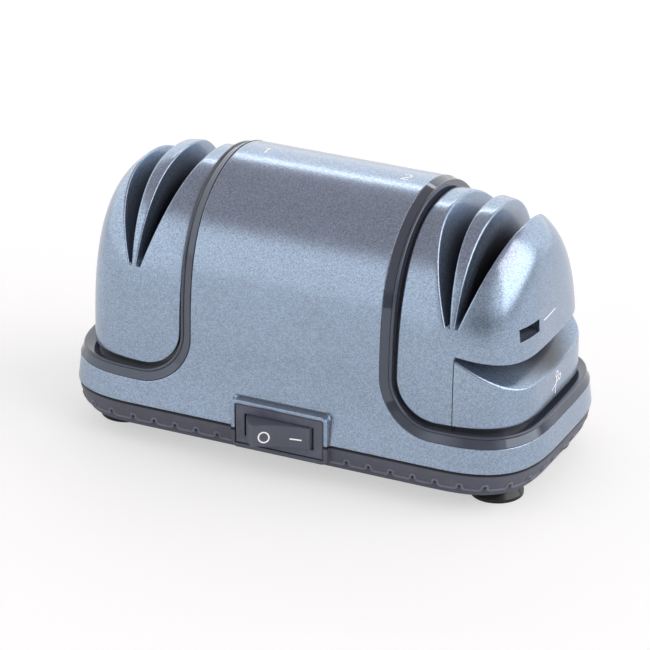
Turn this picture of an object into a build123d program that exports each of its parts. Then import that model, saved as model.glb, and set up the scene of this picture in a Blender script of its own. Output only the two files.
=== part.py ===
from build123d import *
import math
import os

# Electric knife sharpener. Millimetres, +Z up, +X along the body to the right, +Y to the back.
# Everything is drawn about the body's middle plane. When the nodes are written they move along Y
# by centre_shift, so that the origin is the centre of the bounding box at the level of the feet.

# --- body envelope -------------------------------------------------------------------------
body_length = 170.0          # over the seam between housing and base
body_width = 81.6            # over the same seam
body_height = 96.0           # crown of the central arch
seam_z = 15.2                # height of the seam
seam_gap = 0.3               # shadow gap at the seam
skirt_draft_x = 0.66         # how far the skirt leans in at the ends, up to the deck
plan_straight = 54.0         # half length of the straight front and back
plan_power_x = 2.6           # roundness of the plan corners, along X
plan_power_y = 4.0           # and along Y
wall = 2.4                   # moulded wall of housing and base

# --- central arch --------------------------------------------------------------------------
arch_length = 68.4           # painted arch between the two trims
arch_width = 76.2            # across its flanks
arch_spring_z = 26.2         # where the arch starts to curve in
arch_power_z = 4.0
arch_power_y = 1.88
flare_z = 40.0               # below this the flanks flare out to the skirt
deck_z = 23.7                # top of the skirt, under the trims

# --- trims ---------------------------------------------------------------------------------
trim_corner_radius = 19.0
trim_width = 3.7             # along the surface, from housing to cover
trim_proud = 0.15
trim_fall = 1.15             # how far the trim's face tilts in across its width
trim_lip = 0.8               # rounded inner lip
trim_bead = 0.1              # its ridge over the face beside it
trim_gap = 0.1

# --- end covers ----------------------------------------------------------------------------
cover_side_gap = 3.1         # cover's flank inside the skirt at the deck
cover_top_gap = 3.4          # cover's crown below the arch's crown
cover_end_gap = 5.5          # cover's nose inside the skirt's end
cover_channel = 1.3          # shadow channel between trim and cover
cover_dome_length = 30.1
cover_nose_share = 0.983     # where the dome is cut off flat by its nose
cover_spring_z = 25.1
cover_power_y = 2.29
cover_power_z = 3.09
groove_depth = 1.5           # step from the cover's surface down to its flange
flange_wall = 1.5
flange_foot_z = 17.0
flange_inset_x = 0.6         # flange starts this far past the arch's end

# --- knife slots, measured from the wheel's middle plane at the slot floor -------------------
slot_floor_z = 62.0
slot_edges = (-2.09, -0.75, 1.09, 1.85)    # inner wall, fin, fin, outer wall
slot_leans = (-18.1, -4.4, 2.5, 19.4)      # their lean from upright, degrees
slot_wall = 1.8
slot_web = 3.0

# --- wheels and shaft ----------------------------------------------------------------------
wheel_x = 57.2               # middle plane of each grinding wheel
shaft_z = 40.0
wheel_radius = 24.0
wheel_thickness = 8.0
wheel_rim = 2.4              # width of the flat rim between the two bevels
wheel_bevel = 20.0           # degrees from upright
wheel_clearance = 1.2
shaft_radius = 2.5
running_gap = 0.04
hub_radius = 4.0
hub_flange_radius = 7.5
hub_flange = 2.0
washer_radius = 5.5
washer_thickness = 1.2
nut_flats = 8.0
nut_height = 3.2
shaft_tip = 0.8              # shaft beyond the nut
fit_gap = 0.05

# --- motor ---------------------------------------------------------------------------------
motor_radius = 20.0
motor_length = 46.0
can_wall = 1.6
end_cap = 2.0
bush_boss_radius = 7.5
bush_boss_length = 4.0
bush_radius = 5.0
magnet_thickness = 3.8
magnet_length = 32.0
magnet_arc = 120.0
air_gap = 0.8
core_length = 22.0
core_poles = 5
core_slot_width = 2.2
winding_overhang = 3.8
commutator_radius = 6.0
commutator_length = 7.0
brush_width = 4.0
brush_height = 5.0

# --- scissor and screwdriver openings --------------------------------------------------------
guide_seam_x = 58.8
guide_seam_gap = 0.3
guide_bulge = 1.3            # the guide's nose stands this far past the cover's
scissor_roof_z = 53.0        # underside of the cover at the seam
scissor_roof_fall = 0.17     # per millimetre towards the nose
scissor_ramp_z = 51.9        # ramp at the seam
scissor_ramp_fall = 0.55
ramp_wall = 2.2
driver_slot_length = 10.8
driver_slot_height = 4.3
driver_slot_y = -17.6
driver_slot_z = 58.9
driver_slot_turn = -22.0     # degrees about Z

# --- base ----------------------------------------------------------------------------------
base_z = 6.5                 # underside
floor = 2.4
band_foot_z = 9.0            # lower edge of the smooth band
band_lean_x = 3.4            # the band leans in this far at the ends
band_lean_y = 1.3
band_curve = 1.6             # above 1 the band is rounded, not straight
band_recess = 0.9            # step from the band to the strip below it
strip_lean_x = 0.4           # the strip leans in as well
strip_lean_y = 0.5
lip_height = 2.6             # tongue of the base inside the housing
lip_wall = 1.6
lip_gap = 0.15
lip_lean = 0.6
notch_pitch = 7.87           # along the straight front and back
notch_radius = 0.95
notch_flare = 1.0            # rounding where a notch runs out into the band's edge

# --- feet ----------------------------------------------------------------------------------
foot_end_inset = 16.6        # centre of a foot, from the body's end
foot_side_inset = 21.2       # and from its front or back
foot_radius = 8.85
foot_rim = 1.1
foot_neck_radius = 5.4
foot_cup_depth = 2.2
foot_cup_rim = 1.5
foot_stem_radius = 2.9
foot_head_radius = 4.0
foot_head_height = 2.0

# --- switch --------------------------------------------------------------------------------
switch_z = 17.0
bezel_length = 32.0
bezel_height = 14.2
bezel_thickness = 1.2
bezel_front = 41.9           # distance of the bezel's face from the middle plane
surround_margin = 1.5        # raised frame round the bezel
surround_proud = 0.2         # the frame stands proud of the bezel
surround_radius = 2.2
switch_body_length = 28.4
switch_body_height = 12.0
switch_body_depth = 15.0
rocker_opening_length = 25.2
rocker_opening_height = 8.2
rocker_side_gap = 0.2
rocker_radius = 12.2         # the ends are round about the pivot
rocker_pivot_depth = 3.4     # pivot behind the bezel's face
rocker_spread = 50.0         # degrees from upright to each tip, mid way
rocker_throw = 36.0          # degrees between the two positions
rocker_valley = 6.5          # pivot to the middle of the face
rocker_skirt = 95.0          # degrees from upright to each lower corner
rocker_boss_radius = 2.4
rocker_leg = 5.5
rocker_leg_width = 2.6
pivot_radius = 1.0
pivot_length = 1.0
terminal_width = 6.3
terminal_thickness = 0.8
terminal_length = 8.0
terminal_spacing = 12.0

# --- cable bush ----------------------------------------------------------------------------
bush_bore = 3.3
bush_sleeve = 4.9
bush_collar = 7.0
bush_collar_thickness = 2.0
bush_collar_gap = 0.1
bush_inner_collar = 6.2
bush_inner_thickness = 1.6
bush_pad_width = 17.0
bush_pad_proud = 0.1

# --- screws, bosses and inner fittings -------------------------------------------------------
screw_radius = 1.4
screw_head_radius = 2.8
screw_head_height = 2.2
screw_length = 18.0
screw_clearance = 0.1
boss_radius = 3.6
post_radius = 4.2
head_well_radius = 3.3
head_seat = 3.5              # from the underside up to the seat of the head
boss_foot_z = 16.4
boss_height = 24.0
housing_boss_x = 27.0
housing_boss_y = 30.6
cover_boss_x = 47.0
cover_boss_y = 28.0
nose_boss_x = 71.5
cradle_x = 14.0
cradle_thickness = 2.4
cradle_half_width = 22.0
cradle_gap = 0.1
clamp_width = 12.0
clamp_thickness = 1.0
clamp_post_y = 26.0
clamp_post_z = 38.0
clamp_tab = 9.0
dust_wall_x = 32.6
dust_wall_thickness = 2.0
dust_wall_half_width = 30.0
dust_wall_top = 34.0
board_width = 34.0
board_height = 22.0
board_thickness = 1.6
vent_count = 6
vent_pitch = 6.0
vent_width = 2.0
vent_length = 24.0
vent_x = 50.0

# --- derived -------------------------------------------------------------------------------
half_length = body_length / 2
half_width = body_width / 2
foot_x = half_length - foot_end_inset
foot_y = half_width - foot_side_inset
arch_end = arch_length / 2
deck_half_length = half_length - skirt_draft_x
flare_rate = (half_width - arch_width / 2) / (flare_z - seam_z) ** 2
cover_edge = trim_gap + trim_width + cover_channel
cover_start = arch_end + cover_edge
cover_sill_z = deck_z + cover_edge
cover_end = deck_half_length - cover_end_gap
cover_dome_x = cover_end - cover_dome_length * cover_nose_share
bezel_back = bezel_front - bezel_thickness
switch_back = bezel_back - switch_body_depth
pivot_y = -(bezel_front - rocker_pivot_depth)
shaft_end = (
    wheel_x + wheel_thickness / 2 + washer_thickness + nut_height + shaft_tip
)
rocker_reach = (
    bezel_front
    - rocker_pivot_depth
    + rocker_radius * math.cos(math.radians(rocker_spread - rocker_throw / 2))
)
bush_reach = half_width + bush_pad_proud + bush_collar_gap + bush_collar_thickness
centre_shift = (rocker_reach - bush_reach) / 2


def flank(z):
    """Half width of the front and back flanks at a height, before the arch curves in."""
    flare = max(flare_z - z, 0.0)
    return arch_width / 2 + flare_rate * flare * flare


def arch_half_width(z):
    """Half width of the central arch at a height."""
    share = max(z - arch_spring_z, 0.0) / (body_height - arch_spring_z)
    return flank(z) * max(1.0 - share ** arch_power_z, 0.0) ** (1.0 / arch_power_y)


cover_half_width = flank(deck_z) - cover_side_gap
cover_height = body_height - cover_top_gap - cover_spring_z


def polygon_prism(points, half_depth):
    """Prism of an X-Z outline, running half_depth each way along Y."""
    outline = Polyline(*[(x, 0, z) for x, z in points], close=True)
    face = make_face(outline)
    return extrude(face, amount=half_depth, both=True, dir=(0, 1, 0))


def block(x0, x1, y0, y1, z0, z1):
    """Box between two corners."""
    centre = Location(((x0 + x1) / 2, (y0 + y1) / 2, (z0 + z1) / 2))
    return centre * Box(abs(x1 - x0), abs(y1 - y0), abs(z1 - z0))


def rod(x, y, z0, z1, radius):
    """Upright cylinder."""
    return Location((x, y, (z0 + z1) / 2)) * Cylinder(radius, abs(z1 - z0))


def shaft_rod(x0, x1, radius):
    """Cylinder on the shaft's axis."""
    turn = Location(((x0 + x1) / 2, 0, shaft_z), (0, 90, 0))
    return turn * Cylinder(radius, abs(x1 - x0))


def mirrored_x(shape):
    return mirror(shape, about=Plane.YZ)


def mirrored_y(shape):
    return mirror(shape, about=Plane.XZ)


# --- plan curves ---------------------------------------------------------------------------
def even_points(points, count):
    """Points at even distances along a chain of close points, both ends kept."""
    lengths = [0.0]
    for a, b in zip(points, points[1:]):
        lengths.append(lengths[-1] + math.dist(a, b))
    result = [points[0]]
    index = 0
    for k in range(1, count):
        target = lengths[-1] * k / count
        while lengths[index + 1] < target:
            index += 1
        a = points[index]
        b = points[index + 1]
        share = (target - lengths[index]) / (lengths[index + 1] - lengths[index])
        result.append(tuple(p + (q - p) * share for p, q in zip(a, b)))
    result.append(points[-1])
    return result


def corner_points(end, side, steps=10):
    """Quarter of the plan, from the end of the straight side round to the end's middle."""
    fine = []
    for i in range(201):
        angle = math.pi / 2 * (i / 200) ** 0.8
        y = side * max(math.cos(angle), 0.0) ** (2 / plan_power_y) if i < 200 else 0.0
        x = plan_straight + (end - plan_straight) * math.sin(angle) ** (2 / plan_power_x)
        fine.append((x, y))
    return even_points(fine, steps)


def plan_wire(end, side, z):
    """Closed outline of the body's plan: two straight sides and four rounded corners."""
    quarter = corner_points(end, side)
    edges = [Line((-plan_straight, -side, z), (plan_straight, -side, z))]
    front_right = [(x, -y, z) for x, y in quarter]
    back_right = [(x, y, z) for x, y in reversed(quarter)]
    edges.append(Spline(*front_right, tangents=[(1, 0, 0), (0, 1, 0)]))
    edges.append(Spline(*back_right, tangents=[(0, 1, 0), (-1, 0, 0)]))
    edges.append(Line((plan_straight, side, z), (-plan_straight, side, z)))
    back_left = [(-x, y, z) for x, y in quarter]
    front_left = [(-x, -y, z) for x, y in reversed(quarter)]
    edges.append(Spline(*back_left, tangents=[(-1, 0, 0), (0, -1, 0)]))
    edges.append(Spline(*front_left, tangents=[(0, -1, 0), (1, 0, 0)]))
    return Wire(edges)


def plan_loft(sections):
    """Ruled solid through (half length, half width, z) outlines."""
    return Solid.make_loft([plan_wire(*s) for s in sections], ruled=True)


# --- main housing --------------------------------------------------------------------------
def arch_section(inset, z_foot, x):
    """Face across the arch at a station, drawn in from its surface by inset."""
    steps = 10
    levels = [z_foot]
    z = z_foot + 4.0
    while z < arch_spring_z + 6.0:
        levels.append(z)
        z += 4.0
    rise = body_height - arch_spring_z
    for i in range(1, steps):
        level = arch_spring_z + rise * math.sin(math.pi / 2 * i / steps)
        if level > levels[-1] + 2.0:
            levels.append(level)
    shrink_z = (rise - inset) / rise
    side = []
    for z in levels:
        inner_z = z if z < arch_spring_z else arch_spring_z + (z - arch_spring_z) * shrink_z
        narrow = (arch_width / 2 - inset) / (arch_width / 2)
        side.append((arch_half_width(z) * narrow, inner_z))
    crown = (0.0, body_height - inset)
    left = [(x, -y, z) for y, z in side]
    right = [(x, y, z) for y, z in reversed(side)]
    curve = Spline(*left, (x, crown[0], crown[1]), *right)
    foot = Line(right[-1], left[0])
    return make_face(Wire([curve, foot]))


def arch_prism(inset, z_foot, x0, x1):
    """Straight length of arch between two stations."""
    return extrude(arch_section(inset, z_foot, x0), amount=x1 - x0, dir=(1, 0, 0))


def cover_window(grow=0.0):
    """Prism over the right cover's window in the housing: one rounded inner corner."""
    x0 = arch_end + grow
    z0 = deck_z + grow
    radius = trim_corner_radius - grow
    far_x = half_length + 20.0
    far_z = body_height + 20.0
    corner = (x0 + radius, z0 + radius)
    middle = (
        corner[0] - radius * math.sin(math.pi / 4),
        corner[1] - radius * math.cos(math.pi / 4),
    )
    edges = [
        Line((x0, 0, far_z), (x0, 0, corner[1])),
        ThreePointArc((x0, 0, corner[1]), (middle[0], 0, middle[1]), (corner[0], 0, z0)),
        Line((corner[0], 0, z0), (far_x, 0, z0)),
        Line((far_x, 0, z0), (far_x, 0, far_z)),
        Line((far_x, 0, far_z), (x0, 0, far_z)),
    ]
    return extrude(make_face(Wire(edges)), amount=half_width * 2, both=True, dir=(0, 1, 0))


def rounded_block(x_half, z0, z1, y_front, y_back, radius):
    """Box on the front face with rounded edges along Y."""
    height = z1 - z0
    sketch = Plane.XZ * Pos(0, (z0 + z1) / 2) * RectangleRounded(2 * x_half, height, radius)
    return Location((0, y_back, 0)) * extrude(sketch, amount=y_front + y_back)


def screw_boss(x, y, z0, z1):
    """Boss with a pilot hole, open below."""
    return rod(x, y, z0, z1, boss_radius)


def pilot_hole(x, y, z0, z1):
    return rod(x, y, z0, z1, screw_radius + screw_clearance)


surround_half = bezel_length / 2 + surround_margin
surround_top = switch_z + bezel_height / 2 + surround_margin
surround_foot = switch_z - bezel_height / 2 - surround_margin
surround_front = bezel_front + surround_proud


def switch_cut():
    """Room for the bezel and for the body behind it."""
    gap = 0.1
    bezel = block(
        -bezel_length / 2 - gap,
        bezel_length / 2 + gap,
        -surround_front - 1.0,
        -bezel_back,
        switch_z - bezel_height / 2 - gap,
        switch_z + bezel_height / 2 + gap,
    )
    body = block(
        -switch_body_length / 2 - gap,
        switch_body_length / 2 + gap,
        -bezel_back - 1.0,
        -switch_back + 2.0,
        switch_z - switch_body_height / 2 - gap,
        switch_z + switch_body_height / 2 + gap,
    )
    return bezel + body


bush_z = seam_z - seam_gap / 2
pad_front = half_width + bush_pad_proud
pad_back = pad_front - wall


def bush_rod(y0, y1, radius):
    """Cylinder on the cable bush's axis."""
    return Location((0, (y0 + y1) / 2, bush_z), (90, 0, 0)) * Cylinder(radius, y1 - y0)


def bush_cut():
    """Round hole for the cable bush, half in the housing and half in the base."""
    hole = bush_rod(pad_back - 2.0, pad_front + 2.0, bush_sleeve + fit_gap)
    return hole + bush_rod(pad_back - 6.0, pad_back, bush_inner_collar + lip_gap)


def bush_pad(z0, z1):
    return block(-bush_pad_width / 2, bush_pad_width / 2, pad_back, pad_front, z0, z1)


def surround_frame(z0, z1):
    """Slice of the raised frame round the switch."""
    frame = rounded_block(
        surround_half, surround_foot, surround_top, surround_front, -34.5, surround_radius
    )
    return frame & block(-30, 30, -60, 0, z0, z1)


def main_housing():
    skirt = plan_loft(
        [(half_length, half_width, seam_z), (deck_half_length, flank(deck_z), deck_z)]
    )
    web = arch_end + trim_corner_radius
    hump = arch_prism(0.0, deck_z, -web, web)
    window = cover_window()
    hump = hump - window - mirrored_x(window)
    body = skirt + hump + surround_frame(seam_z, surround_top + 1.0)
    body = body + bush_pad(seam_z, seam_z + bush_collar + 0.6)
    ceiling = deck_z - wall
    share = (ceiling - seam_z) / (deck_z - seam_z)
    ceiling_end = half_length - skirt_draft_x * share - wall
    ceiling_side = half_width + (flank(deck_z) - half_width) * share - wall
    room = plan_loft(
        [
            (half_length - wall, half_width - wall, seam_z - 0.1),
            (ceiling_end, ceiling_side, ceiling),
        ]
    )
    room = room + arch_prism(wall, deck_z - wall - 1.0, -web, web)
    hole = cover_skin(groove_depth - lip_gap * 2, seam_z, deck_z + 2.0, arch_end)
    body = body - room - hole - mirrored_x(hole)
    for sx in (-1, 1):
        for sy in (-1, 1):
            x = sx * housing_boss_x
            y = sy * housing_boss_y
            top = boss_foot_z + boss_height
            boss = screw_boss(x, y, boss_foot_z, top)
            web_end = sy * (flank(deck_z + 10) - wall / 2)
            rib = block(x - 1.0, x + 1.0, y, web_end, boss_foot_z + lip_height + 1.5, top)
            body = body + boss + rib
            body = body - pilot_hole(x, y, boss_foot_z - 1, top - 3.0)
    return body - switch_cut() - bush_cut()


# --- end covers ----------------------------------------------------------------------------
def cover_shape(x, inset, bulge):
    """Half width and height above the spring line of the cover at a station."""
    start = cover_dome_x
    length = cover_dome_length - inset + bulge
    share = min(max((x - start) / length, 0.0), 0.9999)
    half = (cover_half_width - inset) * (1 - share ** 2.61) ** (1 / 4.37)
    rise = (cover_height - inset) * (1 - share ** 2.36) ** (1 / 6.07)
    return half, rise


def cover_section(x, inset, bulge, z_foot):
    """Arched outline of the cover at a station."""
    half, rise = cover_shape(x, inset, bulge)
    steps = 9
    side = [(half, z_foot)]
    start_z = max(cover_spring_z, z_foot)
    if z_foot < cover_spring_z - 1.0:
        side.append((half, cover_spring_z))
    for i in range(1, steps):
        share = math.sin(math.pi / 2 * i / steps)
        z = cover_spring_z + rise * share
        if z > start_z + 1.5:
            side.append((half * (1 - share ** cover_power_z) ** (1 / cover_power_y), z))
    left = [(x, -y, z) for y, z in side]
    right = [(x, y, z) for y, z in reversed(side)]
    curve = Spline(*left, (x, 0, cover_spring_z + rise), *right)
    return Wire([curve, Line(right[-1], left[0])])


def cover_solid(inset, z_foot, x_start, bulge=0.0):
    """Solid of the right cover's outline, drawn in by inset, from x_start to its nose."""
    length = cover_dome_length - inset + bulge
    stations = [x_start, (x_start + cover_dome_x) / 2, cover_dome_x]
    shares = (0.25, 0.45, 0.62, 0.75, 0.85, 0.92, 0.962, cover_nose_share)
    stations += [cover_dome_x + length * share for share in shares]
    return Solid.make_loft([cover_section(x, inset, bulge, z_foot) for x in stations])


def cover_skin(inset, z0, z1, x_start):
    """Slab of the cover's flange outline between two heights, from x_start."""
    solid = cover_solid(inset, z0, x_start)
    return solid & block(x_start - 1, half_length, -half_width, half_width, z0, z1)


def slot_x(index, z):
    """Where a slot wall crosses a height."""
    lean = math.tan(math.radians(slot_leans[index]))
    return wheel_x + slot_edges[index] + lean * (z - slot_floor_z)


def slot_wedge(first, second):
    """Wedge of air between two slot walls, running from front to back."""
    top = body_height + 5.0
    points = [
        (slot_x(first, slot_floor_z), slot_floor_z),
        (slot_x(second, slot_floor_z), slot_floor_z),
        (slot_x(second, top), top),
        (slot_x(first, top), top),
    ]
    return polygon_prism(points, half_width)


def slot_frame():
    """Material round the two wedges, down to the web under their floors."""
    top = body_height + 5.0
    foot = slot_floor_z - slot_web
    points = [
        (slot_x(0, slot_floor_z) - slot_wall, foot),
        (slot_x(3, slot_floor_z) + slot_wall, foot),
        (slot_x(3, slot_floor_z) + slot_wall, slot_floor_z),
        (slot_x(3, top) + slot_wall, top),
        (slot_x(0, top) - slot_wall, top),
        (slot_x(0, slot_floor_z) - slot_wall, slot_floor_z),
    ]
    return polygon_prism(points, half_width)


def wheel_well():
    """Room round the wheel, its washer and its nut."""
    half = wheel_thickness / 2 + wheel_clearance
    well = shaft_rod(wheel_x - half, wheel_x + half, wheel_radius + wheel_clearance)
    washer_end = wheel_x + half + washer_thickness
    well = well + shaft_rod(wheel_x, washer_end, washer_radius + wheel_clearance)
    return well + shaft_rod(wheel_x, shaft_end + wheel_clearance, nut_flats / 2 + 1.5)


def boss_with_rib(x, y, wall_y):
    """Screw boss tied to the flank beside it."""
    top = boss_foot_z + boss_height
    rib = block(x - 1.0, x + 1.0, y, wall_y, flange_foot_z + 1.0, top)
    return screw_boss(x, y, boss_foot_z, top) + rib


def cover_blank(with_nose_boss):
    """Right-hand cover with knife slots, before the right cover's own cuts."""
    void_inset = groove_depth + flange_wall
    skin = cover_solid(0.0, cover_sill_z - 1.0, cover_start - 1.0) & cover_window(cover_edge)
    flange_start = arch_end + flange_inset_x
    flange = cover_solid(groove_depth, flange_foot_z, flange_start)
    void = cover_solid(void_inset, flange_foot_z - 1.0, flange_start - 1.0)
    body = skin + flange - void
    frame = slot_frame() & (skin + flange)
    body = body + frame - slot_wedge(0, 1) - slot_wedge(2, 3)
    wall_y = cover_half_width - groove_depth - flange_wall / 2
    for sy in (-1, 1):
        body = body + boss_with_rib(cover_boss_x, sy * cover_boss_y, sy * wall_y)
    holes = [
        pilot_hole(cover_boss_x, sy * cover_boss_y, 0, boss_foot_z + boss_height - 3)
        for sy in (-1, 1)
    ]
    if with_nose_boss:
        body = body + nose_boss()
        holes.append(pilot_hole(nose_boss_x, 0, 0, nose_boss_top - 3))
    for hole in holes:
        body = body - hole
    return body - wheel_well()


nose_boss_top = 34.0


def nose_boss():
    """Boss behind the nose, with a rib to the nose's wall."""
    rib = block(nose_boss_x, cover_end - flange_wall, -1.0, 1.0, flange_foot_z + 1.0, 30.0)
    return screw_boss(nose_boss_x, 0, boss_foot_z, nose_boss_top) + rib


def left_cover():
    return mirrored_x(cover_blank(True))


def below_plane(x0, z_at_seam, fall):
    """Prism of everything below a plane that falls towards the nose, from x0 on."""
    far = half_length + 10.0
    points = [
        (x0, 0.0),
        (x0, z_at_seam - fall * (x0 - guide_seam_x)),
        (far, z_at_seam - fall * (far - guide_seam_x)),
        (far, 0.0),
    ]
    return polygon_prism(points, half_width + 5)


def driver_cut():
    """Rectangular slot for a screwdriver blade, square to the dome."""
    spot = Location((cover_end - 2.0, driver_slot_y, driver_slot_z), (0, 0, driver_slot_turn))
    return spot * Box(16.0, driver_slot_length, driver_slot_height)


def right_cover():
    blank = cover_blank(False)
    under = below_plane(guide_seam_x, scissor_roof_z, scissor_roof_fall)
    roof = below_plane(guide_seam_x, scissor_roof_z + ramp_wall, scissor_roof_fall)
    inner = cover_solid(groove_depth, flange_foot_z, arch_end + flange_inset_x)
    roof = (roof & inner) - wheel_well()
    return blank + roof - under - driver_cut()


def scissor_guide():
    start = guide_seam_x + guide_seam_gap
    void_inset = groove_depth + flange_wall
    skin = cover_solid(0.0, cover_sill_z, cover_start, guide_bulge)
    flange = cover_solid(groove_depth, flange_foot_z, cover_start)
    void = cover_solid(void_inset, flange_foot_z - 1.0, cover_start - 1.0)
    upper_void = cover_solid(void_inset, cover_sill_z + wall, cover_start - 1.0, guide_bulge)
    keep = below_plane(start, scissor_ramp_z, scissor_ramp_fall)
    hollow = below_plane(start - 1.0, scissor_ramp_z - ramp_wall, scissor_ramp_fall)
    body = ((skin + flange) & keep) - (void & hollow) - (upper_void & hollow)
    body = body + nose_boss()
    body = body - pilot_hole(nose_boss_x, 0, 0, nose_boss_top - 3)
    return body - wheel_well()


# --- trims ---------------------------------------------------------------------------------
def surface_normal_yz(z):
    """Outward direction of the arch's surface in the Y-Z plane, front side."""
    step = 0.05
    dy = arch_half_width(z + step) - arch_half_width(z - step)
    length = math.hypot(2 * step, dy)
    return (-2 * step / length, -dy / length)


def trim_stations():
    """Stations round the front half of the right trim: point, width and outward directions."""
    stations = []
    corner_z = deck_z + trim_corner_radius
    corner_x = arch_end + trim_corner_radius
    stations.append(((arch_end, 0.0, body_height), (1, 0, 0), (0, 0, 1)))
    flank_line = []
    for i in range(201):
        z = body_height - (body_height - corner_z) * (i / 200) ** 2
        flank_line.append((arch_half_width(z), z))
    for half, z in even_points(flank_line, 12)[1:-1]:
        ny, nz = surface_normal_yz(z)
        stations.append(((arch_end, -half, z), (1, 0, 0), (0, ny, nz)))
    for i in range(6):
        angle = math.radians(180 + 18 * i)
        x = corner_x + trim_corner_radius * math.cos(angle)
        z = corner_z + trim_corner_radius * math.sin(angle)
        inward = (-math.cos(angle), 0, -math.sin(angle))
        stations.append(((x, -flank(z), z), inward, (0, -1, 0)))
    quarter = corner_points(deck_half_length, flank(deck_z))
    for i, (x, y) in enumerate(quarter[1:], start=1):
        before = quarter[i - 1]
        after = quarter[i + 1] if i + 1 < len(quarter) else (before[0], -before[1])
        tx = after[0] - before[0]
        ty = after[1] - before[1]
        length = math.hypot(tx, ty)
        stations.append(((x, -y, deck_z), (0, 0, 1), (-ty / length, -tx / length, 0)))
    return stations


def trim_depth(point, outward):
    """How deep the trim goes before it meets the cover's flange, less a small gap."""
    depth = 1.0
    while depth < 14.0:
        x = point[0] - outward[0] * depth
        y = point[1] - outward[1] * depth
        z = max(point[2] - outward[2] * depth, cover_spring_z)
        half, rise = cover_shape(max(x, cover_dome_x), groove_depth, 0.0)
        share = min((z - cover_spring_z) / rise, 1.0)
        limit = half * (1 - share ** cover_power_z) ** (1 / cover_power_y)
        if abs(y) < limit and x < cover_end - groove_depth:
            return depth - 0.25
        depth += 0.05
    return depth


def trim_wire(point, inward, outward):
    depth = trim_depth(point, outward)
    t0 = trim_gap
    t1 = trim_gap + trim_width
    low = trim_proud - trim_fall
    profile = [
        (t0, trim_proud),
        (t1 - trim_lip, low),
        (t1 - trim_lip * 0.8, low + trim_bead),
        (t1 - trim_lip * 0.3, low),
        (t1, low - trim_lip * 0.7),
        (t1, -depth),
        (t0, -depth),
    ]
    corners = []
    for along, out in profile:
        corners.append(
            tuple(point[k] + inward[k] * along + outward[k] * out for k in range(3))
        )
    return Wire(Polyline(*corners, close=True).edges())


def right_trim():
    wires = [trim_wire(*station) for station in trim_stations()]
    front = Solid.make_loft(wires)
    return front + mirrored_y(front)


def left_trim():
    return mirrored_x(right_trim())


# --- base ----------------------------------------------------------------------------------
def band_outline(z):
    """Half length and half width of the base's smooth band at a height: it curves in below."""
    top = seam_z - seam_gap
    share = ((top - z) / (top - base_z)) ** band_curve
    end = half_length - seam_gap - band_lean_x * share
    side = half_width - seam_gap - band_lean_y * share
    return end, side


def band_quarter(z):
    """Points from the front's middle round to the right end's middle."""
    end, side = band_outline(z)
    line = [(plan_straight * i / 60, -side) for i in range(60)]
    return line + [(x, -y) for x, y in corner_points(end, side, 60)]


def point_along(line, distance):
    """Point of a chain of points at a distance from its start."""
    for a, b in zip(line, line[1:]):
        step = math.dist(a, b)
        if distance <= step:
            return tuple(p + (q - p) * distance / step for p, q in zip(a, b))
        distance -= step
    return line[-1]


def notch_marks():
    """Spots round the band, each with the outward direction of its wall. The straight front
    has them at the named pitch, and each end shares out what is left."""
    line = band_quarter(band_foot_z)
    length = sum(math.dist(a, b) for a, b in zip(line, line[1:]))
    straight = round(plan_straight / notch_pitch)
    rest = length - straight * notch_pitch
    count = round(rest / notch_pitch)
    distances = [notch_pitch * k for k in range(straight + 1)]
    distances += [length - rest * k / count for k in range(count)]
    marks = []
    for distance in distances:
        x, y = point_along(line, distance)
        before = point_along(line, max(distance - 1.0, 0.0))
        after = point_along(line, distance + 1.0)
        run = math.dist(before, after)
        out_x = (after[1] - before[1]) / run
        out_y = (before[0] - after[0]) / run
        if distance == length:
            out_x, out_y = 1.0, 0.0
        for sx in (-1, 1):
            for sy in (-1, 1):
                if (sx < 0 and x < 0.01) or (sy < 0 and y > -0.01):
                    continue
                marks.append(((sx * x, sy * y), (sx * out_x, sy * out_y)))
    return marks


def notch_outline():
    """Round-topped notch whose sides flare out into the band's edge."""
    r = notch_radius
    foot = band_foot_z
    centre = foot + notch_flare
    spread = r + notch_flare
    bend = notch_flare * (1 - math.sqrt(0.5))
    return make_face(
        Wire(
            [
                Line((-spread, foot - 0.3), (-spread, foot)),
                ThreePointArc((-spread, foot), (-r - bend, foot + bend), (-r, centre)),
                ThreePointArc((-r, centre), (0, centre + r), (r, centre)),
                ThreePointArc((r, centre), (r + bend, foot + bend), (spread, foot)),
                Line((spread, foot), (spread, foot - 0.3)),
                Line((spread, foot - 0.3), (-spread, foot - 0.3)),
            ]
        )
    )


def notch_tools():
    """One cutter for each notch in the lower edge of the band."""
    spread = notch_radius + notch_flare
    outline = notch_outline()
    tools = []
    for (x, y), (out_x, out_y) in notch_marks():
        if y < 0 and abs(x) < surround_half + spread:
            continue
        if y > 0 and abs(x) < bush_pad_width / 2 + spread:
            continue
        frame = Plane(origin=(x, y, 0), x_dir=(-out_y, out_x, 0), z_dir=(out_x, out_y, 0))
        tool = extrude(frame * outline, amount=2.0)
        tools.append(tool + extrude(frame * outline, amount=-band_recess))
    return tools


def screw_places():
    """Every upright screw: x, y and the foot of its boss."""
    places = []
    for sx in (-1, 1):
        for sy in (-1, 1):
            places.append((sx * housing_boss_x, sy * housing_boss_y))
            places.append((sx * cover_boss_x, sy * cover_boss_y))
        places.append((sx * nose_boss_x, 0.0))
    return places


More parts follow.
